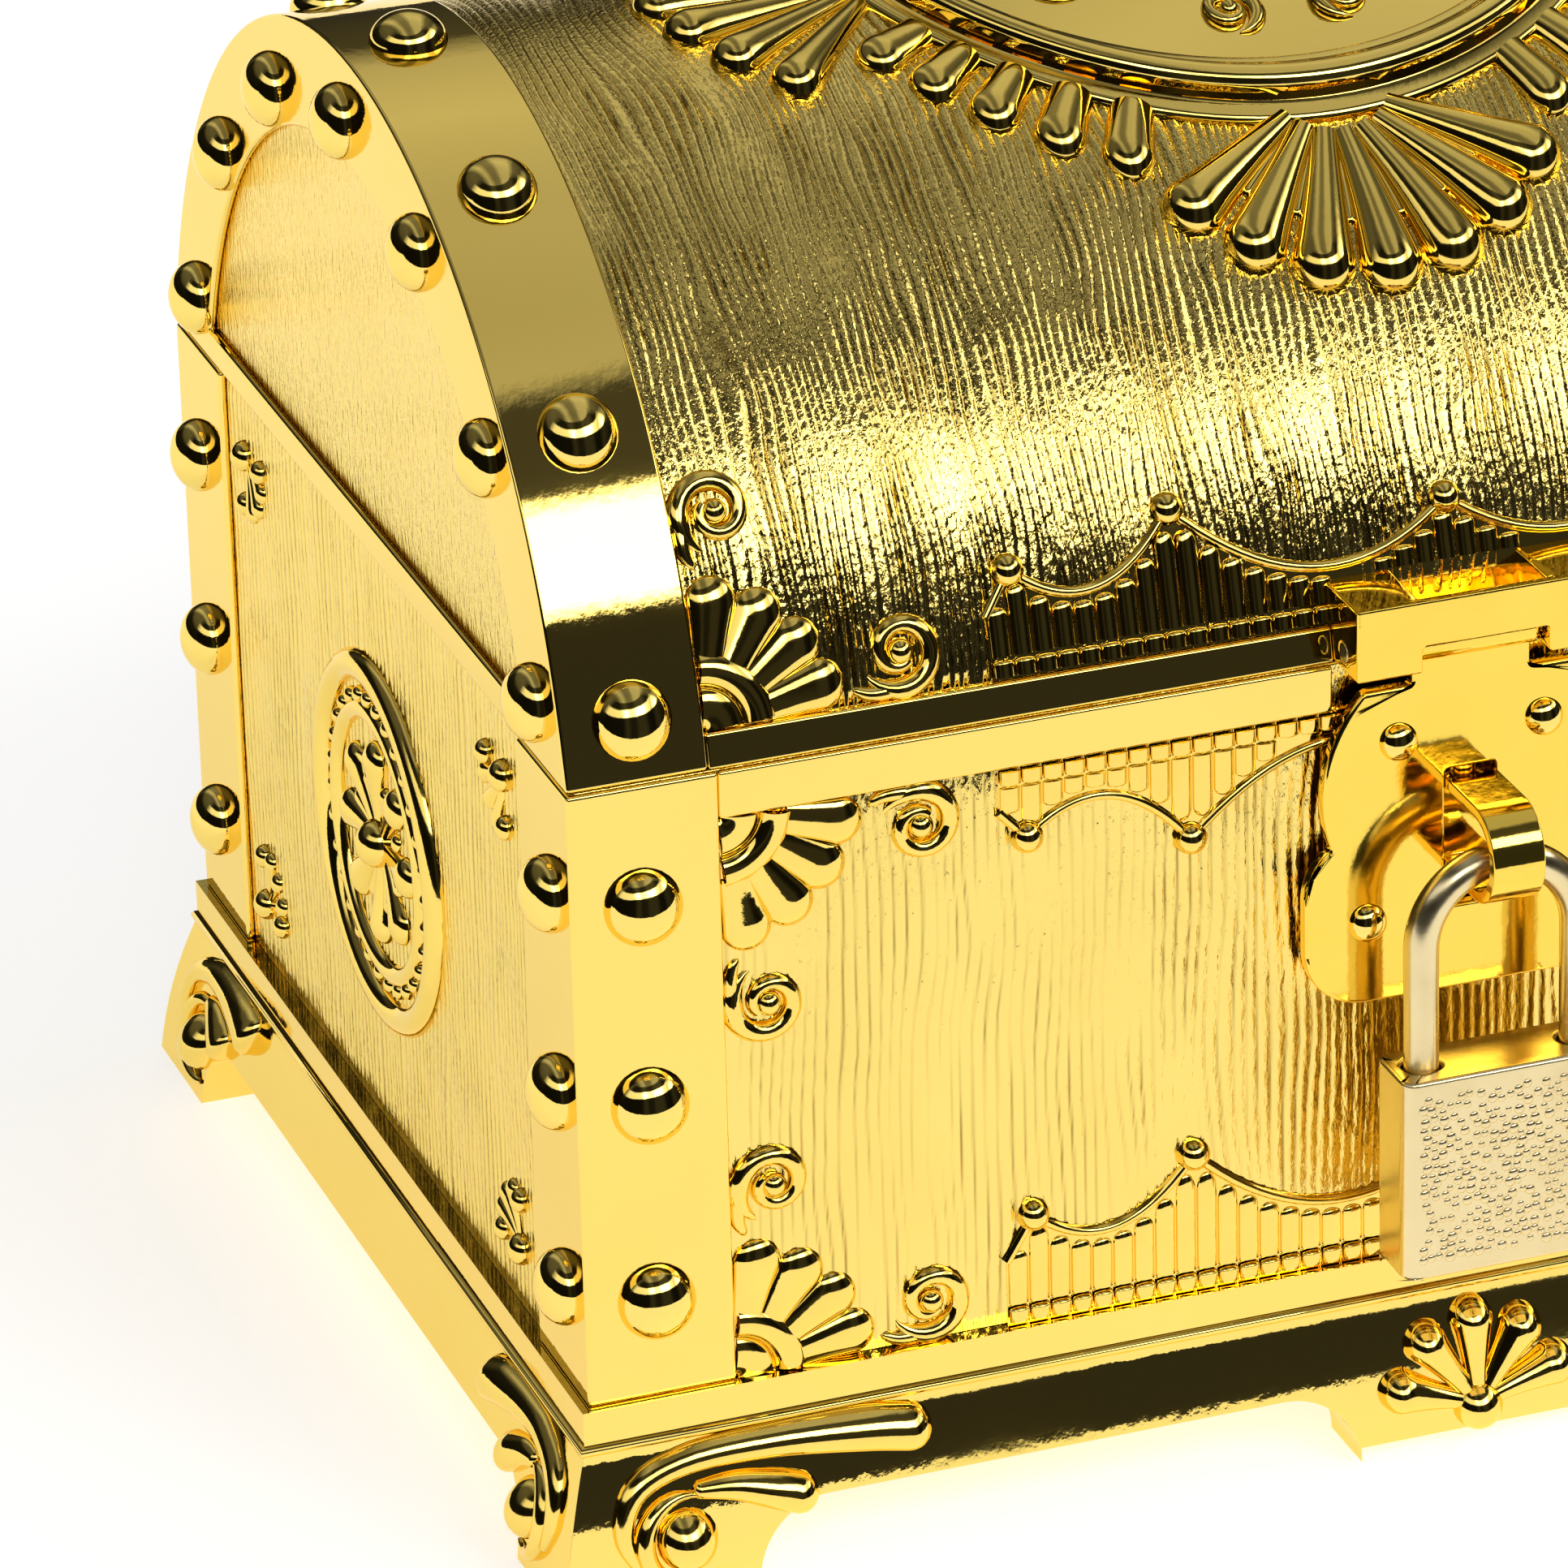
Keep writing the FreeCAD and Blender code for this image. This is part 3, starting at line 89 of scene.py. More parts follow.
class Body(Enum):
    """The bodies that the pieces ride on."""

    CHEST = "chest"
    LID = "lid"
    HASP = "hasp"
    SHACKLE = "padlock_shackle"
    CASE = "padlock_case"
    PLUG = "padlock_plug"
    LATCH = "padlock_latch"


class Slot(Enum):
    """The finishes of the chest, by the record's names."""

    WALL = "wall_gold"
    TRIM = "trim_gold"
    RELIEF = "relief_gold"
    RIVET = "rivet_gold"
    HASP = "hasp_gold"
    LOCK = "lock_metal"
    PLUG = "plug_brass"
    PIN = "pin_steel"


class Hand(Enum):
    """Which way a curl winds."""

    LEFT = 1
    RIGHT = -1


def link_object(name: str, data: bpy.types.ID) -> bpy.types.Object:
    """Put an object into the scene.

    Args:
        name: Its name.
        data: The mesh or camera that it holds.

    Returns:
        The object.
    """
    item = bpy.data.objects.new(name, data)
    bpy.context.scene.collection.objects.link(item)
    return item


def quad(name: str, corners: Sequence[Spot]) -> bpy.types.Object:
    """Make a flat panel.

    Args:
        name: Its name.
        corners: Its four corners in metres, in turn.

    Returns:
        The panel.
    """
    mesh = bpy.data.meshes.new(name)
    mesh.from_pydata(list(corners), [], [(0, 1, 2, 3)])
    return link_object(name, mesh)


def new_group(name: str, inputs: dict[str, str], outputs: dict[str, str], kind: str) -> Tree:
    """Start a node group with named sockets.

    Args:
        name: The group's name.
        inputs: What each input carries, by its name.
        outputs: What each output carries, by its name.
        kind: The tree type.

    Returns:
        The empty group with its input and output nodes.
    """
    tree = bpy.data.node_groups.new(name, kind)
    for way, sockets in (("INPUT", inputs), ("OUTPUT", outputs)):
        for label, carried in sockets.items():
            tree.interface.new_socket(label, in_out=way, socket_type=f"NodeSocket{carried}")
    tree.nodes.new("NodeGroupInput").name = "in"
    tree.nodes.new("NodeGroupOutput").name = "out"
    return tree


def add_node(
    tree: Tree, kind: str, options: dict[str, object] | None = None,
    values: dict[int | str, object] | None = None,
) -> Node:
    """Add a node to a tree.

    Args:
        tree: The tree.
        kind: The node's type.
        options: Its settings by name.
        values: What its free inputs hold, by name or number.

    Returns:
        The node.
    """
    node = tree.nodes.new(kind)
    for name, choice in (options or {}).items():
        setattr(node, name, choice)
    for entry, value in (values or {}).items():
        node.inputs[entry].default_value = value
    return node


def wire(tree: Tree, *runs: tuple[Node, int | str, Node, int | str]) -> None:
    """Join sockets of a tree's nodes.

    Args:
        tree: The tree.
        runs: For each link, a node and its output, then a node and its input.
    """
    for source, output, target, entry in runs:
        tree.links.new(source.outputs[output], target.inputs[entry])


def haze_group() -> Tree:
    """Build the cloudy change of tone and gloss that plating has, with painted shade in the grooves.

    Returns:
        A group that gives a colour and a roughness.
    """
    tree = new_group(
        "plating_haze",
        {"Place": "Vector", "Scale": "Float", "Tone": "Color", "Shade": "Color", "Deep": "Color",
         "Groove": "Float", "Gloss": "Float", "Haze": "Float"},
        {"Color": "Color", "Roughness": "Float"},
        "ShaderNodeTree",
    )
    start, end = tree.nodes["in"], tree.nodes["out"]
    cloud = add_node(tree, "ShaderNodeTexNoise", values={"Detail": HAZE_DETAIL})
    mix = add_node(tree, "ShaderNodeMix", {"data_type": "RGBA"})
    # Painted shade: the colour is mixed towards a dark tone where the grain's grooves lie
    paint_groove_shade = add_node(tree, "ShaderNodeMix", {"data_type": "RGBA"})
    spread = add_node(tree, "ShaderNodeMapRange", values={"From Min": HAZE_LOW, "From Max": HAZE_HIGH})
    wire(
        tree,
        (start, "Place", cloud, "Vector"), (start, "Scale", cloud, "Scale"),
        (cloud, "Fac", mix, FACTOR), (start, "Tone", mix, MIX_A), (start, "Shade", mix, MIX_B),
        (start, "Groove", paint_groove_shade, FACTOR), (mix, MIX_OUT, paint_groove_shade, MIX_A), (start, "Deep", paint_groove_shade, MIX_B),
        (paint_groove_shade, MIX_OUT, end, "Color"), (cloud, "Fac", spread, "Value"),
        (start, "Gloss", spread, "To Min"), (start, "Haze", spread, "To Max"),
        (spread, "Result", end, "Roughness"),
    )
    return tree


def grain_group() -> Tree:
    """Build the fine stretched grain that stands in the plating.

    Returns:
        A group that gives a height.
    """
    tree = new_group(
        "plating_grain",
        {"Place": "Vector", "Stretch": "Vector", "Detail": "Float"},
        {"Height": "Float"},
        "ShaderNodeTree",
    )
    start, end = tree.nodes["in"], tree.nodes["out"]
    scaled = add_node(tree, "ShaderNodeVectorMath", {"operation": "MULTIPLY"})
    noise = add_node(tree, "ShaderNodeTexNoise", values={"Scale": 1.0})
    wire(
        tree,
        (start, "Place", scaled, 0), (start, "Stretch", scaled, 1), (scaled, "Vector", noise, "Vector"),
        (start, "Detail", noise, "Detail"), (noise, "Fac", end, "Height"),
    )
    return tree


@dataclass(frozen=True)
class Finish:
    """A plated finish: two tones, how haze dulls it, its fine grain, and the painted shade in the grooves of
    its grain.
    """

    slot: Slot
    tone: Colour
    shade: Colour
    gloss: float
    haze: float
    haze_scale: float
    stretch: Spot = (900.0, 900.0, 900.0)
    grain: float = 0.05
    # Dark colour painted into the grain's grooves as shade
    groove_shade_colour: Colour = (0.30, 0.18, 0.03)
    tint: Colour = (1.0, 0.92, 0.70)

    def build(self, haze: Tree, grain: Tree) -> bpy.types.Material:
        """Make the material of this finish.

        Args:
            haze: The shared group for tone and gloss.
            grain: The shared group for the fine grain.

        Returns:
            The material, named for its slot.
        """
        material = bpy.data.materials.new(self.slot.value)
        material.use_nodes = True
        tree = material.node_tree
        shader = tree.nodes["Principled BSDF"]
        shader.inputs["Metallic"].default_value = 1.0
        shader.inputs["Specular Tint"].default_value = (*self.tint, 1.0)
        place = add_node(tree, "ShaderNodeTexCoord")
        # How much painted shade each point of the grain's grooves gets
        groove = add_node(tree, "ShaderNodeAttribute", {"attribute_name": "groove"})
        cloud = add_node(tree, "ShaderNodeGroup", {"node_tree": haze}, {
            "Scale": self.haze_scale, "Tone": (*self.tone, 1.0), "Shade": (*self.shade, 1.0),
            "Deep": (*self.groove_shade_colour, 1.0), "Gloss": self.gloss, "Haze": self.haze,
        })
        fine = add_node(tree, "ShaderNodeGroup", {"node_tree": grain}, {
            "Stretch": self.stretch, "Detail": GRAIN_DETAIL,
        })
        bump = add_node(tree, "ShaderNodeBump", values={
            "Strength": self.grain, "Distance": GRAIN_DEPTH * MM,
        })
        wire(
            tree,
            (groove, "Fac", cloud, "Groove"), (place, "Object", cloud, "Place"),
            (cloud, "Color", shader, "Base Color"), (cloud, "Roughness", shader, "Roughness"),
            (place, "Object", fine, "Place"), (fine, "Height", bump, "Height"),
            (bump, "Normal", shader, "Normal"),
        )
        return material


FINISHES = (
    Finish(
        Slot.WALL, (0.96, 0.74, 0.21), (0.91, 0.67, 0.17), 0.08, 0.18, 90.0,
        stretch=(2400.0, 2400.0, 800.0), grain=0.5,
    ),
    Finish(Slot.TRIM, (0.98, 0.74, 0.19), (0.94, 0.68, 0.15), 0.02, 0.07, 60.0),
    Finish(Slot.RELIEF, (0.97, 0.73, 0.18), (0.90, 0.64, 0.13), 0.04, 0.11, 160.0),
    Finish(Slot.RIVET, (0.98, 0.75, 0.20), (0.94, 0.69, 0.16), 0.02, 0.06, 200.0),
    Finish(Slot.HASP, (0.98, 0.70, 0.12), (0.93, 0.64, 0.09), 0.05, 0.12, 120.0),
    Finish(Slot.LOCK, (0.86, 0.72, 0.42), (0.78, 0.63, 0.33), 0.20, 0.32, 240.0),
    Finish(Slot.PLUG, (0.76, 0.58, 0.24), (0.64, 0.47, 0.18), 0.16, 0.28, 400.0),
    Finish(Slot.PIN, (0.70, 0.63, 0.48), (0.58, 0.51, 0.38), 0.18, 0.30, 300.0),
)


class Seat(Protocol):
    """A face that ornament stands on, with its own flat pattern plane."""

    def place(self, points: np.ndarray) -> np.ndarray:
        """Carry pattern points (across, up, out) to the chest, in millimetres."""


@dataclass(frozen=True)
class FlatSeat:
    """A flat face, whose pattern may be mirrored while it still stands outwards."""

    origin: Spot
    across: Spot
    up: Spot
    out: Spot

    def place(self, points: np.ndarray) -> np.ndarray:
        """Carry pattern points to the face."""
        return np.asarray(self.origin) + points @ np.array([self.across, self.up, self.out])


@dataclass(frozen=True)
class LidSeat:
    """The barrel of the lid about a spot on it."""

    x: float
    angle: float
    radius: float
    axis: float

    def place(self, points: np.ndarray) -> np.ndarray:
        """Wrap pattern points round the barrel.

        Args:
            points: Rows of across, up towards the crown, and out.

        Returns:
            The points in the chest's frame.
        """
        turn = math.radians(self.angle) - points[:, 1] / self.radius
        reach = self.radius + points[:, 2]
        return np.column_stack(
            [self.x + points[:, 0], -reach * np.sin(turn), self.axis + reach * np.cos(turn)]
        )


@dataclass(frozen=True)
class CrownSeat:
    """The top of the lid, with the pattern laid out in plan."""

    radius: float
    axis: float

    def place(self, points: np.ndarray) -> np.ndarray:
        """Drop pattern points on to the barrel.

        Args:
            points: Rows of x, y and out.

        Returns:
            The points in the chest's frame.
        """
        share = points[:, 1] / self.radius
        reach = self.radius + points[:, 2]
        return np.column_stack(
            [points[:, 0], reach * share, self.axis + reach * np.sqrt(1 - share**2)]
        )


@dataclass(frozen=True)
class SkirtSeat:
    """The flared skirt of the base on one side of the chest."""

    across: Point
    out: Point
    face: float
    start: float
    top: float
    flare: float = 3.6
    lip: float = 0.7
    swell: float = 0.4

    def offset(self, height: np.ndarray) -> np.ndarray:
        """Give how far the skirt stands off the strap face at a height.

        Args:
            height: Heights above the floor.

        Returns:
            Offsets in millimetres.
        """
        share = np.clip(height / self.top, 0.0, 1.0)
        return self.flare + (self.lip - self.flare) * share + 4 * self.swell * share * (1 - share)

    def place(self, points: np.ndarray) -> np.ndarray:
        """Lay pattern points on the skirt.

        Args:
            points: Rows of distance along, height and out.

        Returns:
            The points in the chest's frame.
        """
        along = self.start + points[:, 0]
        away = self.face + self.offset(points[:, 1]) + points[:, 2]
        flat = np.outer(along, self.across) + np.outer(away, self.out)
        return np.column_stack([flat, points[:, 1]])


@dataclass(frozen=True)
class MirrorSeat:
    """A seat whose pattern starts at a place across it and may run the other way."""

    base: Seat
    start: float
    sense: int

    def place(self, points: np.ndarray) -> np.ndarray:
        """Carry pattern points to the seat below."""
        moved = points.copy()
        moved[:, 0] = self.start + self.sense * points[:, 0]
        return self.base.place(moved)


def long_face(sign: int, away: float, z: float = 0.0) -> FlatSeat:
    """Give the seat of the front (-1) or back (1) face that lies away from the middle."""
    return FlatSeat((0, sign * away, z), (1, 0, 0), (0, 0, 1), (0, sign, 0))


def end_face(sign: int, away: float, z: float = 0.0, across: int = 1) -> FlatSeat:
    """Give the seat of the left (-1) or right (1) face that lies away from the middle."""
    return FlatSeat((sign * away, 0, z), (0, across, 0), (0, 0, 1), (sign, 0, 0))


@dataclass(frozen=True)
class Levels:
    """Main faces and levels of the chest in millimetres, read from the frame."""

    half_length: float
    half_depth: float
    wall_x: float
    wall_y: float
    floor: float
    seam: float
    lid_bottom: float
    lid_radius: float
    lid_axis: float

    @classmethod
    def read(cls) -> "Levels":
        """Measure the frame's nodes.

        Returns:
            The levels.
        """
        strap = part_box("corner_strap_front_right")
        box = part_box("chest_box")
        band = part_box("lid_band_left")
        half_depth = (MIDDLE - strap[0].y) / MM
        rise = (band[1].z - band[0].z) / MM
        radius = (half_depth**2 + rise**2) / (2 * rise)
        return cls(
            half_length=strap[1].x / MM,
            half_depth=half_depth,
            wall_x=box[1].x / MM,
            wall_y=(box[1].y - MIDDLE) / MM,
            floor=box[0].z / MM,
            seam=box[1].z / MM,
            lid_bottom=band[0].z / MM,
            lid_radius=radius,
            lid_axis=band[1].z / MM - radius,
        )

    @property
    def proud(self) -> float:
        """How far straps and bands stand off the walls."""
        return self.half_length - self.wall_x

    @property
    def shell_radius(self) -> float:
        """Radius of the lid's shell under its bands."""
        return self.lid_radius - self.proud

    def rim_angle(self, rim: float) -> float:
        """Give the angle between the crown and the top of a front rim of some height."""
        return math.degrees(math.acos((self.lid_bottom + rim - self.lid_axis) / self.shell_radius))

    def on_front(self, x: float, z: float, mirror: bool = False, flip: bool = False) -> FlatSeat:
        """Give the seat of a spot on the box front.

        Args:
            x: Place across.
            z: Height.
            mirror: Whether the pattern runs to the left.
            flip: Whether the pattern runs down.

        Returns:
            The seat.
        """
        across, up = -1 if mirror else 1, -1 if flip else 1
        return FlatSeat((x, -self.wall_y, z), (across, 0, 0), (0, 0, up), (0, -1, 0))

    def on_lid(self, angle: float, x: float = 0.0) -> LidSeat:
        """Give the seat of a spot on the lid's shell, at an angle from the crown."""
        return LidSeat(x, angle, self.shell_radius, self.lid_axis)

    def on_crown(self, lift: float = 0.0) -> CrownSeat:
        """Give the seat in plan on the lid's shell, or at a height over it."""
        return CrownSeat(self.shell_radius + lift, self.lid_axis)


@dataclass(frozen=True)
class Petal:
    """A petal that widens from its root to a round tip, with its rise as a share of its width."""

    start: float
    reach: float
    root: float
    tip: float
    rise: float = 1.0
    swell: float = 1.4
    steps: int = 9
    least: float = 0.03

    def outline(self) -> tuple[np.ndarray, np.ndarray]:
        """Follow the petal from its root to the end of its tip.

        Returns:
            Distances from the middle of its fan, and the half width at each.
        """
        body = np.linspace(self.start, self.reach, self.steps)[:-1]
        share = (body - self.start) / (self.reach - self.start)
        widening = self.root + (self.tip - self.root) * share**self.swell
        turn = np.linspace(0.0, math.pi / 2, self.steps)
        along = np.concatenate([body, self.reach + self.tip * np.sin(turn)])
        width = np.concatenate([widening, self.tip * np.cos(turn)])
        return along, np.maximum(width, self.least)


@dataclass(frozen=True)
class Curl:
    """A curl that narrows as it winds to a bead in its eye, in millimetres and shares of them."""

    radius: float
    rise: float = 1.0
    steps: int = 34
    wind: float = 2.6 * math.pi
    closing: float = 0.70
    width: float = 0.3
    narrowing: float = 0.45
    sinking: float = 0.3
    lead_in: float = 6.0
    least: float = 0.05
    eye: float = 0.32
    eye_rise: float = 0.35

    def line(self, hand: Hand, lead: float) -> tuple[np.ndarray, np.ndarray, np.ndarray]:
        """Wind the curl about its eye.

        Args:
            hand: Which way it winds.
            lead: Direction in degrees in which it starts.

        Returns:
            Its path, and the half width and height along it.
        """
        share = np.linspace(0.0, 1.0, self.steps)
        turn = math.radians(lead) + hand.value * share * self.wind
        away = self.radius * (1 - self.closing * share)
        path = np.column_stack([away * np.cos(turn), away * np.sin(turn)])
        taper = np.sin(np.clip(share * self.lead_in, 0.0, 1.0) * math.pi / 2)
        width = self.width * self.radius * (1 - self.narrowing * share) * taper + self.least
        return path, width, self.rise * (1 - self.sinking * share) * taper + self.least


def ball_rings(tilts: np.ndarray, sides: int) -> np.ndarray:
    """Give the rings of a ball of radius one.

    Args:
        tilts: Angle of each ring from the top.
        sides: Points on each ring.

    Returns:
        Array of rings, points and coordinates.
    """
    turn = np.linspace(0.0, FULL_TURN, sides, endpoint=False)
    flat, high = np.sin(tilts)[:, None], np.cos(tilts)[:, None]
    return np.stack([flat * np.cos(turn), flat * np.sin(turn), high * np.ones(sides)], axis=2)


class MeshMaker:
    """Gathers closed shapes in millimetres and turns them into one piece."""

    BEAD_RINGS, BEAD_SIDES, BEAD_TILT = 13, 20, 0.08
    RING_SIDES = 72

    def __init__(self) -> None:
        """Start with nothing."""
        self.points: list[np.ndarray] = []
        self.faces: list[tuple[int, ...]] = []
        self.count = 0

    def add(self, points: np.ndarray, faces: Iterable[Sequence[int]]) -> None:
        """Add points and the faces on them.

        Args:
            points: Rows of x, y, z.
            faces: Index loops into these points.
        """
        self.faces.extend(tuple(i + self.count for i in face) for face in faces)
        self.points.append(points)
        self.count += len(points)

    def loft(self, rings: np.ndarray, closed: bool = False) -> None:
        """Skin rings of equal length, one after another.

        Args:
            rings: Array of rings, points and coordinates.
            closed: Whether the last ring joins the first; otherwise both ends are capped.
        """
        n, m = rings.shape[:2]
        faces: list[Sequence[int]] = []
        for i in range(n if closed else n - 1):
            a, b = i * m, (i + 1) % n * m
            faces.extend((a + j, a + (j + 1) % m, b + (j + 1) % m, b + j) for j in range(m))
        if not closed:
            faces.append(tuple(range(m)))
            faces.append(tuple(range((n - 1) * m, n * m)))
        self.add(rings.reshape(-1, 3), faces)

    def loft_on(self, seat: Seat, rings: np.ndarray, closed: bool = False) -> None:
        """Skin rings of pattern points on a seat."""
        self.loft(seat.place(rings.reshape(-1, 3)).reshape(rings.shape), closed)

    def ridge(
        self, seat: Seat, path: np.ndarray, widths: np.ndarray, heights: np.ndarray,
        closed: bool = False, sink: float = SINK, sides: int = 10,
    ) -> None:
        """Raise a rounded ridge along a path on a seat.

        Args:
            seat: The face that carries it.
            path: Rows of across and up.
            widths: Half width at each point.
            heights: Height at each point.
            closed: Whether the path is a loop.
            sink: Depth of the foot under the face.
            sides: Divisions over the round of the ridge.
        """
        if closed:
            run = np.roll(path, -1, axis=0) - np.roll(path, 1, axis=0)
        else:
            run = np.gradient(path, axis=0)
        run = run / np.linalg.norm(run, axis=1, keepdims=True)
        side = np.stack([-run[:, 1], run[:, 0]], axis=1)
        turn = np.linspace(0.0, math.pi, sides + 1)
        shift = np.append(np.cos(turn), [-1.0, 1.0])
        rise = np.append(np.sin(turn), [0.0, 0.0])
        drop = np.append(np.zeros(sides + 1), [-sink, -sink])
        flat = path[:, None, :] + side[:, None, :] * (widths[:, None] * shift)[:, :, None]
        out = heights[:, None] * rise + drop
        self.loft_on(seat, np.concatenate([flat, out[:, :, None]], axis=2), closed)

    def petal(self, seat: Seat, centre: Point, aim: float, shape: Petal) -> None:
        """Raise a petal.

        Args:
            seat: The face that carries it.
            centre: The point that the petals fan about.
            aim: Its direction in degrees.
            shape: The petal.
        """
        along, width = shape.outline()
        heading = np.array([math.cos(math.radians(aim)), math.sin(math.radians(aim))])
        path = np.asarray(centre) + along[:, None] * heading
        self.ridge(seat, path, width, width * shape.rise)

    def fan(self, seat: Seat, centre: Point, aims: Iterable[float], shape: Petal) -> None:
        """Raise like petals about a point."""
        for aim in aims:
            self.petal(seat, centre, aim, shape)

    def bead(self, seat: Seat, u: float, v: float, radius: float, rise: float = 0.0) -> None:
        """Set a round bead on a seat.

        Args:
            seat: The face that carries it.
            u: Place across.
            v: Place up.
            radius: Its radius.
            rise: Height of its middle over the face.
        """
        tilts = np.linspace(self.BEAD_TILT, math.pi - self.BEAD_TILT, self.BEAD_RINGS)
        self.loft_on(seat, np.array([u, v, rise]) + radius * ball_rings(tilts, self.BEAD_SIDES))

    def curl(self, seat: Seat, eye: Point, shape: Curl, hand: Hand, lead: float) -> None:
        """Wind a curl with the bead in its eye.

        Args:
            seat: The face that carries it.
            eye: Place of the eye across and up.
            shape: The curl.
            hand: Which way it winds.
            lead: Direction in degrees in which the curl starts.
        """
        path, width, height = shape.line(hand, lead)
        self.ridge(seat, np.asarray(eye) + path, width, height)
        self.bead(seat, *eye, shape.eye * shape.radius, shape.eye_rise * shape.rise)

    def ring(self, seat: Seat, radius: float, width: float, height: float) -> None:
        """Raise a round ring about a seat's middle.

        Args:
            seat: The face that carries it.
            radius: Radius of the ring's middle line.
            width: Half width of its ridge.
            height: Height of its ridge.
        """
        count = self.RING_SIDES
        turn = np.linspace(0.0, FULL_TURN, count, endpoint=False)
        path = radius * np.column_stack([np.cos(turn), np.sin(turn)])
        self.ridge(seat, path, np.full(count, width), np.full(count, height), closed=True)

    def sheet(self, seat: Seat, us: np.ndarray, vs: np.ndarray, out: np.ndarray) -> None:
        """Lay a closed sheet with a relief on its outer face.

        Args:
            seat: The face that carries it.
            us: Places across.
            vs: Places up.
            out: Height of the relief by row of us and column of vs.
        """
        nu, nv = len(us), len(vs)
        grid = np.stack([*np.meshgrid(us, vs, indexing="ij"), out], axis=2).reshape(-1, 3)
        left, right = (
            np.column_stack([np.full(nv, u), vs, np.full(nv, -SINK)]) for u in (us[0], us[-1])
        )
        near, far, last = nu * nv, nu * nv + nv, (nu - 1) * nv
        faces: list[Sequence[int]] = []
        for i in range(nu - 1):
            a, b = i * nv, (i + 1) * nv
            faces.extend((a + j, b + j, b + j + 1, a + j + 1) for j in range(nv - 1))
        for j in range(nv - 1):
            faces.append((j, j + 1, near + j + 1, near + j))
            faces.append((last + j, far + j, far + j + 1, last + j + 1))
            faces.append((near + j, near + j + 1, far + j + 1, far + j))
        faces.append((*range(0, nu * nv, nv), far, near))
        faces.append((*range(nv - 1, nu * nv, nv), far + nv - 1, near + nv - 1))
        self.add(seat.place(np.concatenate([grid, left, right])), faces)

    def mesh(self, name: str, middle: float = MIDDLE) -> bpy.types.Mesh:
        """Turn what was gathered into a mesh in metres with its faces outwards.

        Args:
            name: The mesh's name.
            middle: Where the middle of the chest lies from front to back, in metres.

        Returns:
            The mesh.
        """
        mesh = bpy.data.meshes.new(name)
        points = np.concatenate(self.points) * MM + np.array([0.0, middle, 0.0])
        mesh.from_pydata(points.tolist(), [], self.faces)
        work = bmesh.new()
        work.from_mesh(mesh)
        bmesh.ops.recalc_face_normals(work, faces=work.faces)
        work.to_mesh(mesh)
        work.free()
        return mesh


def settle(source: bpy.types.Object) -> bpy.types.Mesh:
    """Turn an object with its modifiers into a plain mesh and drop the object and its own mesh.

    Args:
        source: The working object.

    Returns:
        The evaluated mesh.
    """
    bpy.context.view_layer.update()
    graph = bpy.context.evaluated_depsgraph_get()
    mesh = bpy.data.meshes.new_from_object(source.evaluated_get(graph))
    start = source.data
    bpy.data.objects.remove(source)
    bpy.data.meshes.remove(start)
    return mesh


def flatten_shading(mesh: bpy.types.Mesh) -> None:
    """Shade wide faces flat and narrow rounded edges smooth, by weighing each face by its area.

    Args:
        mesh: The mesh.
    """
    count = len(mesh.polygons)
    areas, normals = np.empty(count), np.empty(count * 3)
    totals, corners = np.empty(count, dtype=int), np.empty(len(mesh.loops), dtype=int)
    mesh.polygons.foreach_get("area", areas)
    mesh.polygons.foreach_get("normal", normals)
    mesh.polygons.foreach_get("loop_total", totals)
    mesh.loops.foreach_get("vertex_index", corners)
    pull = np.repeat(normals.reshape(-1, 3) * areas[:, None], totals, axis=0)
    sums = np.zeros((len(mesh.vertices), 3))
    np.add.at(sums, corners, pull)
    length = np.linalg.norm(sums, axis=1, keepdims=True)
    mesh.shade_smooth()
    mesh.normals_split_custom_set_from_vertices((sums / np.maximum(length, 1e-12)).tolist())


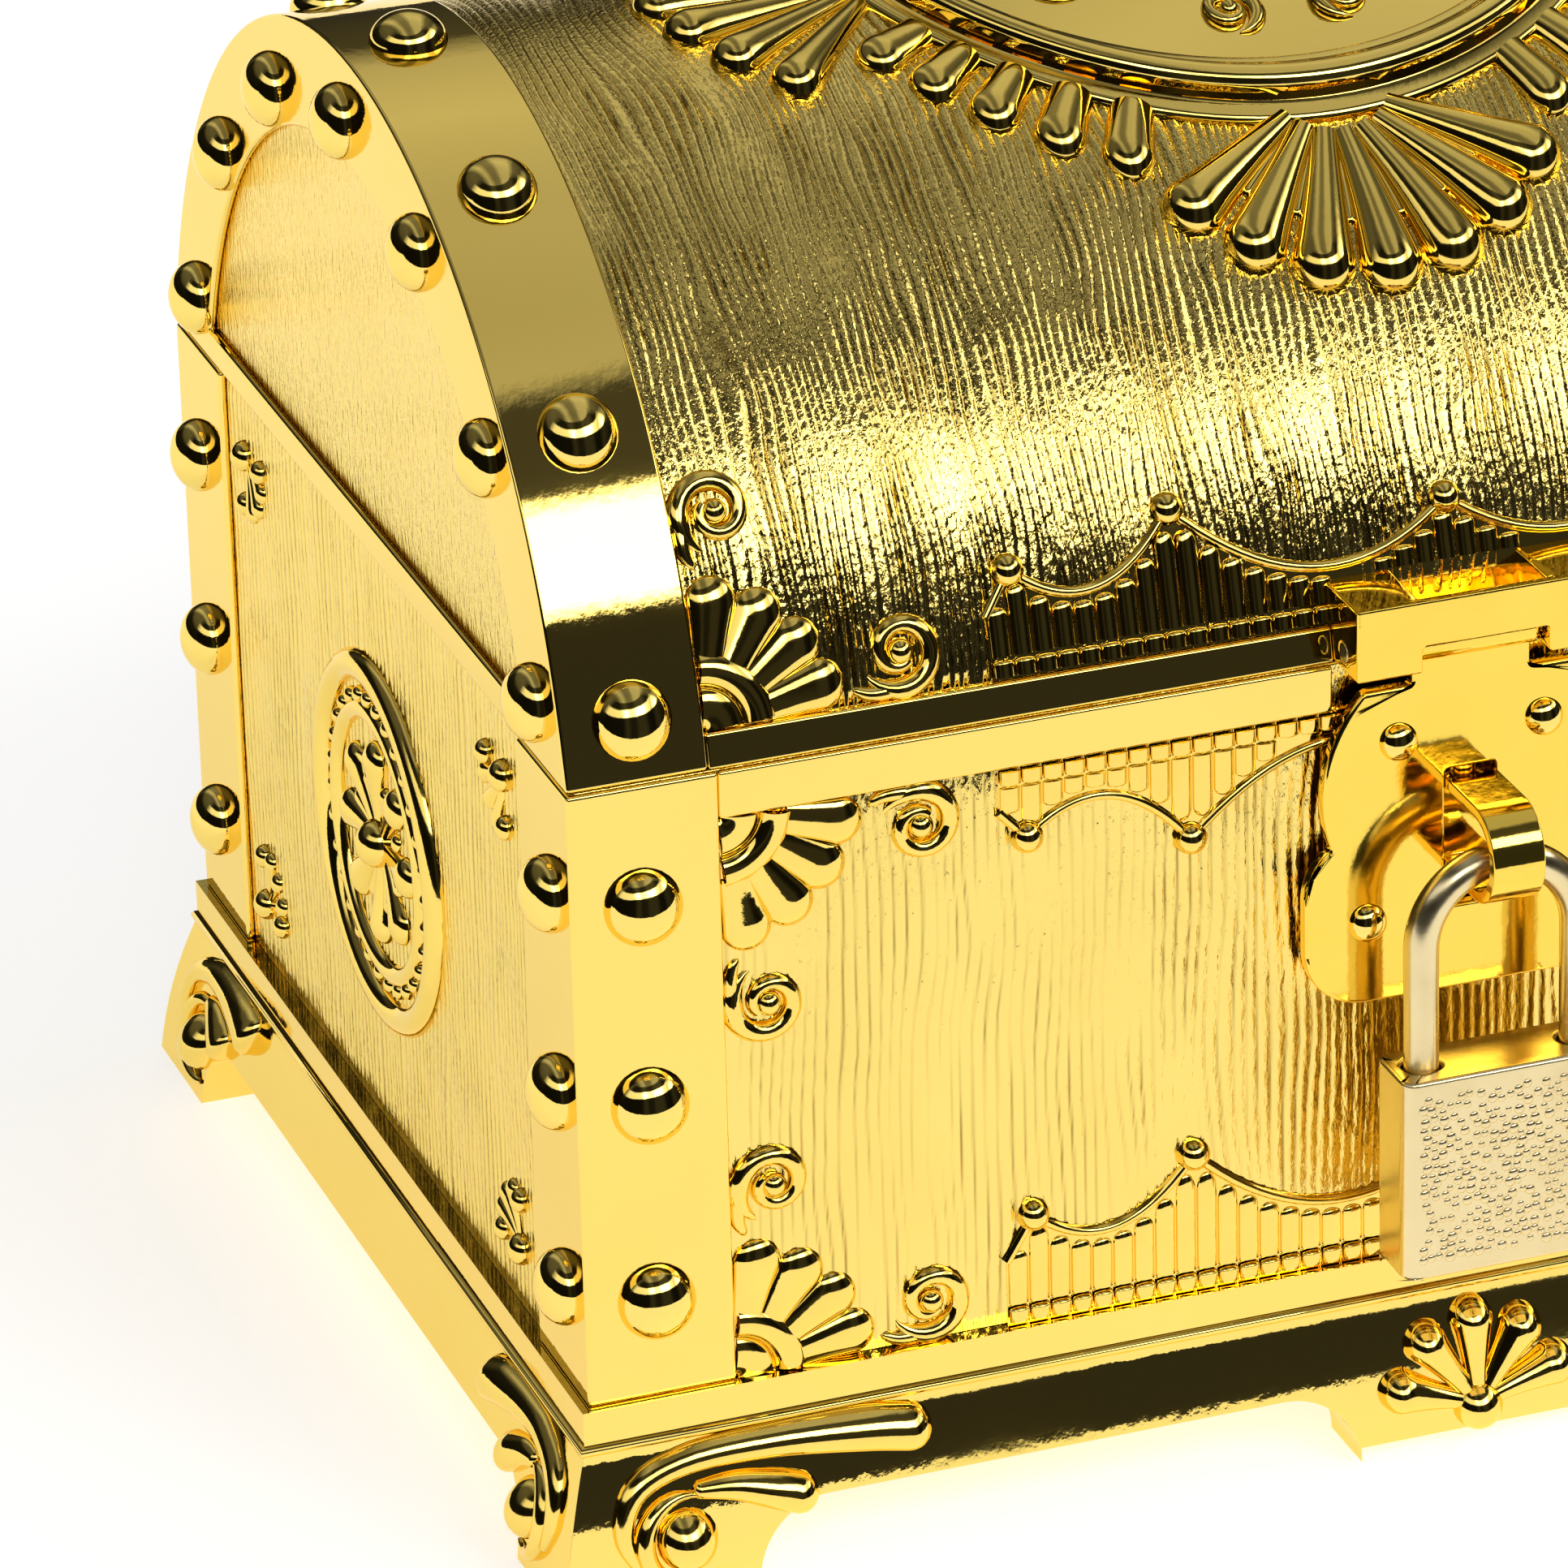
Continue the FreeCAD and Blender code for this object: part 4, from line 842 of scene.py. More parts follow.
@dataclass
class Workshop:
    """Holds the materials and turns meshes into finished pieces."""

    materials: dict[Slot, bpy.types.Material]

    @classmethod
    def open(cls) -> "Workshop":
        """Build every finish once."""
        haze, grain = haze_group(), grain_group()
        return cls({finish.slot: finish.build(haze, grain) for finish in FINISHES})

    def finish(
        self, mesh: bpy.types.Mesh, body: Body, slot: Slot, nodes: Sequence[str] = (),
        sharp: float | None = CREASE,
    ) -> None:
        """Make a piece from a mesh, dress it and set it on its body.

        Args:
            mesh: The mesh in metres, in place.
            body: The body that it rides on.
            slot: Its finish.
            nodes: The nodes that it stands for.
            sharp: Angle past which an edge stays crisp, or None where the mesh has its own shading.
        """
        mesh.materials.clear()
        mesh.materials.append(self.materials[slot])
        if sharp is not None:
            mesh.shade_smooth()
            mesh.set_sharp_from_angle(angle=math.radians(sharp))
        piece = link_object(mesh.name, mesh)
        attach(piece, body.value)
        if nodes:
            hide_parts(*nodes)
        log.info("%s on %s: %d faces", mesh.name, body.value, len(mesh.polygons))

    def carve(
        self, node: str, body: Body, slot: Slot, edge: float, steps: int = 2,
        bend: Callable[[Vector], None] | None = None, free: bool = False,
    ) -> None:
        """Round the edges of a copy of a node and set it in the node's place.

        Args:
            node: The node.
            body: The body that it rides on.
            slot: Its finish.
            edge: Width of the rounded edges in millimetres.
            steps: Divisions of each rounded edge.
            bend: Moves each point of the copy before its edges are rounded.
            free: Whether edges keep their full rounding where the copy has short sides.
        """
        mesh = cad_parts[node].data.copy()
        mesh.name = f"{node}_plated"
        work = bmesh.new()
        work.from_mesh(mesh)
        bmesh.ops.remove_doubles(work, verts=work.verts, dist=WELD * MM)
        bmesh.ops.dissolve_limit(
            work, angle_limit=math.radians(FLAT_ANGLE), verts=work.verts, edges=work.edges, delimit=set(),
        )
        bmesh.ops.connect_verts_concave(work, faces=work.faces)
        if bend:
            for vert in work.verts:
                bend(vert.co)
        work.to_mesh(mesh)
        work.free()
        source = link_object("edge_work", mesh)
        bevel = source.modifiers.new("edge", "BEVEL")
        bevel.width = edge * MM
        bevel.segments = steps
        bevel.limit_method = "ANGLE"
        bevel.angle_limit = math.radians(EDGE_ANGLE)
        bevel.miter_outer = "MITER_ARC"
        bevel.use_clamp_overlap = not free
        rounded = settle(source)
        rounded.name = f"{node}_plated"
        flatten_shading(rounded)
        self.finish(rounded, body, slot, (node,), None)


def smooth_noise(x: np.ndarray, y: np.ndarray, seed: int) -> np.ndarray:
    """Give a smooth random value between 0 and 1 at each point of a plane.

    Args:
        x: Places across, one unit to a cell.
        y: Places up, one unit to a cell.
        seed: Which pattern.

    Returns:
        The values.
    """
    lattice = np.random.default_rng(seed).random((LATTICE, LATTICE))
    i, j = np.floor(x).astype(int), np.floor(y).astype(int)
    fx, fy = x - i, y - j
    fx, fy = fx * fx * (3 - 2 * fx), fy * fy * (3 - 2 * fy)
    i, j, right, over = i % LATTICE, j % LATTICE, (i + 1) % LATTICE, (j + 1) % LATTICE
    low = lattice[i, j] * (1 - fx) + lattice[right, j] * fx
    high = lattice[i, over] * (1 - fx) + lattice[right, over] * fx
    return low * (1 - fy) + high * fy


@dataclass(frozen=True)
class WoodGrain:
    """The moulded wood grain of a panel: wavy ridges along it, in millimetres.

    Pairs are the cell of a noise, across and along the grain.
    """

    pitch: float
    height: float
    wave: float
    seed: int
    # Share of a ridge's height below which the grooves get painted shade
    groove: float = 0.48
    sway: Point = (9.0, 14.0)
    ripple: Point = (3.0, 6.0)
    ripple_share: float = 0.5
    crowding: Point = (2.3, 60.0)
    crowding_share: float = 0.9
    patches: Point = (2.0, 9.0)
    least_depth: float = 0.35
    roundness: float = 0.8
    skin: float = 0.03
    fade: float = 0.6
    groove_gain: float = 1.25
    depth_gain: float = 2.2
    depth_start: float = 1.1

    def cut(self, us: np.ndarray, vs: np.ndarray) -> tuple[np.ndarray, np.ndarray]:
        """Give the height of the grain over a panel, and how much painted shade darkens its grooves.

        Args:
            us: Places across the grain.
            vs: Places along the grain.

        Returns:
            Heights and shares of painted shade in the grooves, by row of us and column of vs.
        """
        u, v = np.meshgrid(us + NOISE_SHIFT, vs + NOISE_SHIFT, indexing="ij")

        def noise(cell: Point, step: int) -> np.ndarray:
            """Give a noise of its own over the panel."""
            return smooth_noise(u / cell[0], v / cell[1], self.seed + step)

        drift = self.wave * noise(self.sway, 0)
        drift += self.ripple_share * self.wave * noise(self.ripple, 1)
        cell = (self.crowding[0] * self.pitch, self.crowding[1])
        crowd = self.crowding_share * self.pitch * noise(cell, 2)
        ridges = np.abs(np.sin(math.pi * (u + drift + crowd) / self.pitch)) ** self.roundness
        depth = self.least_depth + (1 - self.least_depth) * noise(self.patches, 3)
        edge, ends = (
            np.clip(np.minimum(row - row[0], row[-1] - row) / self.fade, 0, 1) for row in (us, vs)
        )
        fade = edge[:, None] * ends[None, :]
        # Painted shade: the grooves between ridges are darkened in colour, most where the grain's height is
        # large, fading at the panel's edges
        groove = np.clip(self.groove_gain * (1 - ridges / self.groove), 0.0, 1.0)
        groove *= np.clip(self.depth_gain * depth - self.depth_start, 0.0, 1.0) * fade
        return self.skin + self.height * ridges * depth * fade, groove

    def panel(self, name: str, seat: Seat, us: np.ndarray, vs: np.ndarray) -> bpy.types.Mesh:
        """Lay the grain as a thin sheet on a seat.

        Args:
            name: The mesh's name.
            seat: The face that carries it.
            us: Places across the grain.
            vs: Places along the grain.

        Returns:
            The mesh, with the painted shade of its grooves marked.
        """
        height, groove = self.cut(us, vs)
        maker = MeshMaker()
        maker.sheet(seat, us, vs, height)
        mesh = maker.mesh(name)
        marks = np.append(groove.ravel(), np.zeros(2 * len(vs))).astype(np.float32)
        # Store the grooves' painted shade on the points for the material
        mesh.attributes.new("groove", "FLOAT", "POINT").data.foreach_set("value", marks)
        return mesh


def end_tree(tree: Tree, copies: Node) -> Tree:
    """End a tree: make its copies real and set the material on them.

    Args:
        tree: The tree.
        copies: The node that sets the copies on points.

    Returns:
        The tree.
    """
    real = add_node(tree, "GeometryNodeRealizeInstances")
    paint = add_node(tree, "GeometryNodeSetMaterial")
    wire(
        tree,
        (copies, "Instances", real, "Geometry"), (real, "Geometry", paint, "Geometry"),
        (tree.nodes["in"], "Material", paint, "Material"),
        (paint, "Geometry", tree.nodes["out"], "Geometry"),
    )
    return tree


def repeat_tree() -> Tree:
    """Build the tree that sets a shape on every point, turned and stretched by the point's values.

    Returns:
        The tree, with inputs for the shape, its width, its height and the material.
    """
    tree = new_group(
        "repeat_on_points",
        {"Geometry": "Geometry", "Shape": "Object", "Width": "Float", "Height": "Float",
         "Material": "Material"},
        {"Geometry": "Geometry"},
        "GeometryNodeTree",
    )
    start = tree.nodes["in"]
    facing, along, run = (
        add_node(tree, "GeometryNodeInputNamedAttribute", {"data_type": kind}, {"Name": name})
        for name, kind in (("facing", "FLOAT_VECTOR"), ("along", "FLOAT_VECTOR"), ("run", "FLOAT"))
    )
    axes = add_node(tree, "FunctionNodeAxesToRotation", {"primary_axis": "Z", "secondary_axis": "X"})
    size = add_node(tree, "ShaderNodeCombineXYZ")
    shape = add_node(tree, "GeometryNodeObjectInfo", values={"As Instance": True})
    copies = add_node(tree, "GeometryNodeInstanceOnPoints")
    wire(
        tree,
        (facing, "Attribute", axes, "Primary Axis"), (along, "Attribute", axes, "Secondary Axis"),
        (run, "Attribute", size, "X"), (start, "Width", size, "Y"), (start, "Height", size, "Z"),
        (start, "Shape", shape, "Object"), (start, "Geometry", copies, "Points"),
        (shape, "Geometry", copies, "Instance"), (axes, "Rotation", copies, "Rotation"),
        (size, "Vector", copies, "Scale"),
    )
    return end_tree(tree, copies)


def pebble_tree() -> Tree:
    """Build the tree that strews low pebbles over a panel with a fixed seed.

    Returns:
        The tree, with inputs for the pebbles' spacing, radius, height, seed and material.
    """
    tree = new_group(
        "pebbles_on_panel",
        {"Geometry": "Geometry", "Spacing": "Float", "Radius": "Float", "Height": "Float",
         "Seed": "Int", "Material": "Material"},
        {"Geometry": "Geometry"},
        "GeometryNodeTree",
    )
    start = tree.nodes["in"]
    strew = add_node(
        tree, "GeometryNodeDistributePointsOnFaces", {"distribute_method": "POISSON"}, {"Density Max": 8.0e6},
    )
    pebble = add_node(tree, "GeometryNodeMeshUVSphere", values={"Segments": 10, "Rings": 6, "Radius": 1.0})
    size = add_node(tree, "ShaderNodeCombineXYZ")
    vary = add_node(
        tree, "FunctionNodeRandomValue", {"data_type": "FLOAT"}, {RANDOM_LOW: 0.75, RANDOM_HIGH: 1.2},
    )
    scaled = add_node(tree, "ShaderNodeVectorMath", {"operation": "SCALE"})
    copies = add_node(tree, "GeometryNodeInstanceOnPoints")
    wire(
        tree,
        (start, "Geometry", strew, "Mesh"), (start, "Spacing", strew, "Distance Min"),
        (start, "Seed", strew, "Seed"), (start, "Radius", size, "X"), (start, "Radius", size, "Y"),
        (start, "Height", size, "Z"), (start, "Seed", vary, "Seed"), (size, "Vector", scaled, 0),
        (vary, RANDOM_OUT, scaled, "Scale"), (strew, "Points", copies, "Points"),
        (pebble, "Mesh", copies, "Instance"), (strew, "Rotation", copies, "Rotation"),
        (scaled, "Vector", copies, "Scale"),
    )
    return end_tree(tree, copies)


def run_tree(source: bpy.types.Object, tree: Tree, values: dict[str, object]) -> bpy.types.Mesh:
    """Run a tree on an object and keep the plain mesh.

    Args:
        source: The object that the tree starts from.
        tree: The tree.
        values: Its inputs by name.

    Returns:
        The mesh.
    """
    modifier = source.modifiers.new("tree", "NODES")
    modifier.node_group = tree
    keys = {item.name: item.identifier for item in tree.interface.items_tree if item.in_out == "INPUT"}
    for name, value in values.items():
        modifier[keys[name]] = value
    return settle(source)


@dataclass
class PointRows:
    """Points that carry a shape: where each stands, which way it faces, runs and how long it is."""

    rows: list[tuple[np.ndarray, np.ndarray, np.ndarray, float]] = field(default_factory=list)
    step: float = 0.05

    def add(
        self, seat: Seat, u: float, v: float, run: float, heading: Point = (1.0, 0.0), lift: float = 0.0,
    ) -> None:
        """Add a point on a seat.

        Args:
            seat: The face that carries it.
            u: Place across.
            v: Place up.
            run: Length of the shape along its heading.
            heading: Direction in the seat's pattern.
            lift: Height over the face.
        """
        ahead = (u + self.step * heading[0], v + self.step * heading[1], lift)
        spot, along, out = seat.place(np.array([(u, v, lift), ahead, (u, v, lift + self.step)]))
        self.rows.append((spot, out - spot, along - spot, run))

    def source(self, name: str) -> bpy.types.Object:
        """Make the point mesh with its values.

        Args:
            name: The working object's name.

        Returns:
            The working object.
        """
        mesh = bpy.data.meshes.new(name)
        spots, facing, along, runs = (np.array(column) for column in zip(*self.rows))
        mesh.from_pydata((spots * MM + np.array([0.0, MIDDLE, 0.0])).tolist(), [], [])
        for label, ways in (("facing", facing), ("along", along)):
            ways = (ways / np.linalg.norm(ways, axis=1, keepdims=True)).astype(np.float32)
            mesh.attributes.new(label, "FLOAT_VECTOR", "POINT").data.foreach_set("vector", ways.ravel())
        lengths = (runs * MM).astype(np.float32)
        mesh.attributes.new("run", "FLOAT", "POINT").data.foreach_set("value", lengths)
        return link_object(name, mesh)


def dome_shape() -> MeshMaker:
    """Build a rivet's dome of radius one with a short foot.

    Returns:
        The dome.
    """
    tip, steps, sides, depth = 0.05, 11, 32, 0.2
    rings = ball_rings(np.linspace(tip, math.pi / 2, steps), sides)
    foot = rings[-1:] - np.array([0.0, 0.0, depth])
    maker = MeshMaker()
    maker.loft(np.concatenate([rings, foot]))
    return maker


def flute_shape() -> MeshMaker:
    """Build a flute of length, half width and height one with a round end.

    Returns:
        The flute.
    """
    straight, straight_steps = 0.82, 4
    bow_start, bow_steps = 0.3, 5
    least, depth, sides = 0.02, 0.2, 6
    bow = np.linspace(bow_start, math.pi / 2, bow_steps)
    body = np.linspace(0.0, straight, straight_steps)
    share = np.concatenate([body, straight + (1 - straight) * np.sin(bow)])
    width = np.concatenate([np.ones(straight_steps), np.cos(bow)]) + least
    path = np.column_stack([share, np.zeros(len(share))])
    flat = FlatSeat((0, 0, 0), (1, 0, 0), (0, 1, 0), (0, 0, 1))
    maker = MeshMaker()
    maker.ridge(flat, path, width, width, sink=depth, sides=sides)
    return maker


@dataclass
class Repeater:
    """Sets one shape on many points through the shared tree."""

    workshop: Workshop
    tree: Tree
    dome: bpy.types.Object
    flute: bpy.types.Object

    @classmethod
    def ready(cls, workshop: Workshop) -> "Repeater":
        """Build the tree and the shapes that it repeats.

        Args:
            workshop: Where pieces are finished.

        Returns:
            The repeater.
        """
        shapes = []
        for name, maker in (("dome_shape", dome_shape()), ("flute_shape", flute_shape())):
            mesh = maker.mesh(name, 0.0)
            mesh.transform(Matrix.Scale(1 / MM, 4))
            mesh.shade_smooth()
            shapes.append(link_object(name, mesh))
        return cls(workshop, repeat_tree(), *shapes)

    def lay(
        self, name: str, rows: PointRows, shape: bpy.types.Object, width: float, height: float, slot: Slot,
    ) -> bpy.types.Mesh:
        """Repeat a shape over rows of points.

        Args:
            name: Name of the mesh.
            rows: The points.
            shape: The shape.
            width: Half width of each copy.
            height: Height of each copy.
            slot: The finish.

        Returns:
            The mesh.
        """
        mesh = run_tree(rows.source(name), self.tree, {
            "Shape": shape, "Width": width * MM, "Height": height * MM,
            "Material": self.workshop.materials[slot],
        })
        mesh.name = name
        return mesh

    def close(self) -> None:
        """Drop the shapes that were repeated."""
        for item in (self.dome, self.flute):
            bpy.data.objects.remove(item)


def flowing(points: Sequence[Point], widths: Sequence[float], count: int) -> tuple[np.ndarray, np.ndarray]:
    """Run a smooth line through points, with its width, and round it off at the end.

    Args:
        points: The points.
        widths: Half width at each point.
        count: How many steps the line has.

    Returns:
        The line and the half width along it.
    """
    first, least = 0.1, 0.04
    tip_start, tip_steps = 0.2, 7
    table = np.column_stack([np.asarray(points), np.asarray(widths)])
    ends = np.vstack([2 * table[0] - table[1], table, 2 * table[-1] - table[-2]])
    place = np.linspace(0.0, len(table) - 1.0, count)
    cell = np.minimum(place.astype(int), len(table) - 2)
    t = (place - cell)[:, None]
    a, b, c, e = (ends[cell + step] for step in range(4))
    bends = (2 * a - 5 * b + 4 * c - e) * t**2 + (3 * b - a - 3 * c + e) * t**3
    line = 0.5 * (2 * b + (c - a) * t + bends)
    heading = line[-1, :2] - line[-2, :2]
    heading = heading / np.linalg.norm(heading)
    turn = np.linspace(tip_start, math.pi / 2, tip_steps)
    tip = line[-1, :2] + line[-1, 2] * np.sin(turn)[:, None] * heading
    width = np.append(line[:, 2], line[-1, 2] * np.cos(turn))
    width[0] = first
    return np.vstack([line[:, :2], tip]), np.maximum(width, least)


@dataclass(frozen=True)
class CornerFan:
    """The quarter fan with two curls that fills a corner.

    Each arc has a radius, a half width and a height.
    """

    arcs: tuple[Spot, ...] = ((1.7, 1.6, 0.7), (4.5, 1.25, 1.0))
    arc_span: Point = (3.0, 87.0)
    arc_steps: int = 20
    aims: tuple[float, ...] = (12.0, 34.0, 56.0, 78.0)
    petal: Petal = Petal(5.2, 9.4, 1.4, 2.0, 0.5)
    eye: Point = (15.6, 3.4)
    curl: Curl = Curl(3.1)
    leads: Point = (200.0, 250.0)
    stem: tuple[Point, ...] = ((11.6, 1.2), (13.0, 0.6), (15.0, 0.7), (17.6, 1.4))
    stem_widths: tuple[float, ...] = (0.3, 0.6, 0.7, 0.6)
    stem_rise: float = 1.1
    stem_steps: int = 14

    def raise_on(self, maker: MeshMaker, seat: Seat) -> None:
        """Raise the fan on a seat whose corner is in the middle.

        Args:
            maker: Where the shapes are gathered.
            seat: The face that carries it.
        """
        turn = np.radians(np.linspace(*self.arc_span, self.arc_steps))
        for radius, width, height in self.arcs:
            path = radius * np.column_stack([np.cos(turn), np.sin(turn)])
            maker.ridge(seat, path, np.full(self.arc_steps, width), np.full(self.arc_steps, height))
        maker.fan(seat, (0.0, 0.0), self.aims, self.petal)
        for order, hand, lead in zip((1, -1), Hand, self.leads):
            maker.curl(seat, self.eye[::order], self.curl, hand, lead)
            path, width = flowing([spot[::order] for spot in self.stem], self.stem_widths, self.stem_steps)
            maker.ridge(seat, path, width, width * self.stem_rise)


@dataclass(frozen=True)
class Rosette:
    """Petals with narrow leaves between them, about a bud of some radius and rise."""

    petal: Petal
    leaf: Petal
    bud: Point = (2.0, 0.2)
    spacing: int = 45

    def raise_on(self, maker: MeshMaker, seat: Seat) -> None:
        """Raise the rosette in the middle of a seat.

        Args:
            maker: Where the shapes are gathered.
            seat: The face that carries it.
        """
        for aim in range(0, 360, self.spacing):
            maker.petal(seat, (0, 0), aim, self.petal)
            maker.petal(seat, (0, 0), aim + self.spacing / 2, self.leaf)
        maker.bead(seat, 0, 0, *self.bud)


@dataclass(frozen=True)
class Fringe:
    """A scalloped and fluted border with ball drops, and a row of dentils at its foot."""

    height: float
    step: float = 2.5
    inner: float = 21.8
    outer: float = 34.8
    end: float = 37.0
    end_share: float = 0.6
    wide_chord: float = 15.0
    wide_radius: float = 15.0
    small_radius: float = 8.0
    straight_chord: float = 6.0
    bow_steps: int = 22
    plate: float = 0.25
    plate_rows: int = 6
    cord: Point = (0.45, 0.62)
    drop: Point = (1.3, 0.15)
    pitch: float = 1.7
    first_flute: float = 0.9
    last_flute: float = 0.5
    flute_width: float = 0.80
    flute_height: float = 0.34
    flute_foot: float = 1.7
    flute_top: float = 0.7
    flute_least: float = 0.8
    gap_height: float = 3.4
    dentil_foot: float = 0.25
    dentil_length: float = 1.2
    dentil_lift: float = 0.25

    def cusps(self) -> list[Point]:
        """Give the points of the scallops from left to right."""
        high, low, last = self.height + self.step, self.height, self.height * self.end_share
        right = [(0.0, low), (self.inner, high), (self.outer, low), (self.end, last)]
        return [(-u, v) for u, v in reversed(right[1:])] + right

    def edge(self) -> np.ndarray:
        """Follow the scalloped edge from left to right.

        Returns:
            Rows of across and up.
        """
        cusps = self.cusps()
        path = [np.array([cusps[0]])]
        share = np.linspace(0.0, 1.0, self.bow_steps)[1:]
        for (u0, v0), (u1, v1) in zip(cusps, cusps[1:]):
            chord = math.hypot(u1 - u0, v1 - v0)
            radius = self.wide_radius if chord > self.wide_chord else self.small_radius
            sag = 0.0 if chord < self.straight_chord else radius - math.sqrt(radius**2 - chord**2 / 4)
            path.append(np.column_stack([
                u0 + (u1 - u0) * share, v0 + (v1 - v0) * share - 4 * sag * share * (1 - share),
            ]))
        return np.concatenate(path)

    def raise_on(self, maker: MeshMaker, rows: PointRows, seat: Seat, gap: float = 0.0) -> None:
        """Raise the plate, its cord and its drops, and mark where flutes and dentils stand.

        Args:
            maker: Where the shapes are gathered.
            rows: Where the points of flutes and dentils are gathered.
            seat: The face that carries it.
            gap: Half width that stays free of them in the middle, up to the gap's height.
        """
        edge = self.edge()
        count = len(edge)
        ups = edge[:, 1:] * np.linspace(0.0, 1.0, self.plate_rows)
        us = np.repeat(edge[:, :1], self.plate_rows, axis=1)
        top = np.stack([us, ups, np.full(ups.shape, self.plate)], axis=2)
        back = top[:, ::-1].copy()
        back[:, :, 2] = -SINK
        maker.loft_on(seat, np.concatenate([top, back], axis=1))
        maker.ridge(seat, edge, *(np.full(count, size) for size in self.cord))
        for u, v in self.cusps()[1:-1]:
            maker.bead(seat, u, v, *self.drop)
        for u in np.arange(-self.end + self.first_flute, self.end - self.last_flute, self.pitch):
            tip = float(np.interp(u, edge[:, 0], edge[:, 1])) - self.flute_top
            foot = self.gap_height if abs(u) < gap else self.flute_foot
            if abs(u) >= gap:
                lift = self.plate + self.dentil_lift
                rows.add(seat, u, self.dentil_foot, self.dentil_length, (0.0, 1.0), lift)
            if tip > foot + self.flute_least:
                rows.add(seat, u, foot, tip - foot, (0.0, 1.0), self.plate)


@dataclass
class Pieces:
    """What every sub-assembly works with."""

    workshop: Workshop
    repeater: Repeater
    levels: Levels

    def relief(self, maker: MeshMaker, node: str, body: Body, kind: str = "relief") -> None:
        """Finish gathered ornament in the place of its node."""
        self.workshop.finish(maker.mesh(f"{node}_{kind}"), body, Slot.RELIEF, (node,))

    def rivets(self, rows: PointRows, node: str, body: Body, radius: float, rise: float) -> None:
        """Set domes on rows of points in the place of a node."""
        mesh = self.repeater.lay(f"{node}_domed", rows, self.repeater.dome, radius, rise, Slot.RIVET)
        self.workshop.finish(mesh, body, Slot.RIVET, (node,))

    def fringe(self, border: Fringe, node: str, body: Body, seat: Seat, gap: float = 0.0) -> None:
        """Raise a fringe in the place of its node, with its flutes and dentils.

        Args:
            border: The fringe.
            node: The node.
            body: The body that it rides on.
            seat: The face that carries it.
            gap: Half width that stays free of flutes in the middle.
        """
        maker, rows = MeshMaker(), PointRows()
        border.raise_on(maker, rows, seat, gap)
        self.relief(maker, node, body, "border")
        flutes = self.repeater.lay(
            f"{node}_flutes", rows, self.repeater.flute, border.flute_width, border.flute_height, Slot.RELIEF,
        )
        self.workshop.finish(flutes, body, Slot.RELIEF)


@dataclass
class Carcass(Pieces):
    """The box tub with its grained walls."""

    edge: float = 0.25
    strap_width: float = 11.7
    rim_height: float = 3.8
    pitch: float = 0.95
    height: float = 0.17
    wave: float = 1.0
    across_step: float = 0.17
    along_steps: int = 40
    inset: float = 0.05

    def build(self) -> None:
        """Round the tub and lay grain on its four walls."""
        lv = self.levels
        self.workshop.carve("chest_box", Body.CHEST, Slot.WALL, self.edge)
        half_x = lv.half_length - self.strap_width
        half_y = lv.half_depth - self.strap_width
        walls = (
            ("front", long_face(-1, lv.wall_y), half_x, lv.seam - self.rim_height, 11),
            ("back", long_face(1, lv.wall_y), half_x, lv.seam, 23),
            ("left", end_face(-1, lv.wall_x), half_y, lv.seam, 37),
            ("right", end_face(1, lv.wall_x), half_y, lv.seam, 41),
        )
        for name, seat, half, top, seed in walls:
            us = np.linspace(-half, half, int(half * 2 / self.across_step))
            vs = np.linspace(lv.floor + self.inset, top - self.inset, self.along_steps)
            grain = WoodGrain(self.pitch, self.height, self.wave, seed)
            mesh = grain.panel(f"box_grain_{name}", seat, us, vs)
            self.workshop.finish(mesh, Body.CHEST, Slot.WALL, sharp=FINE_CREASE)


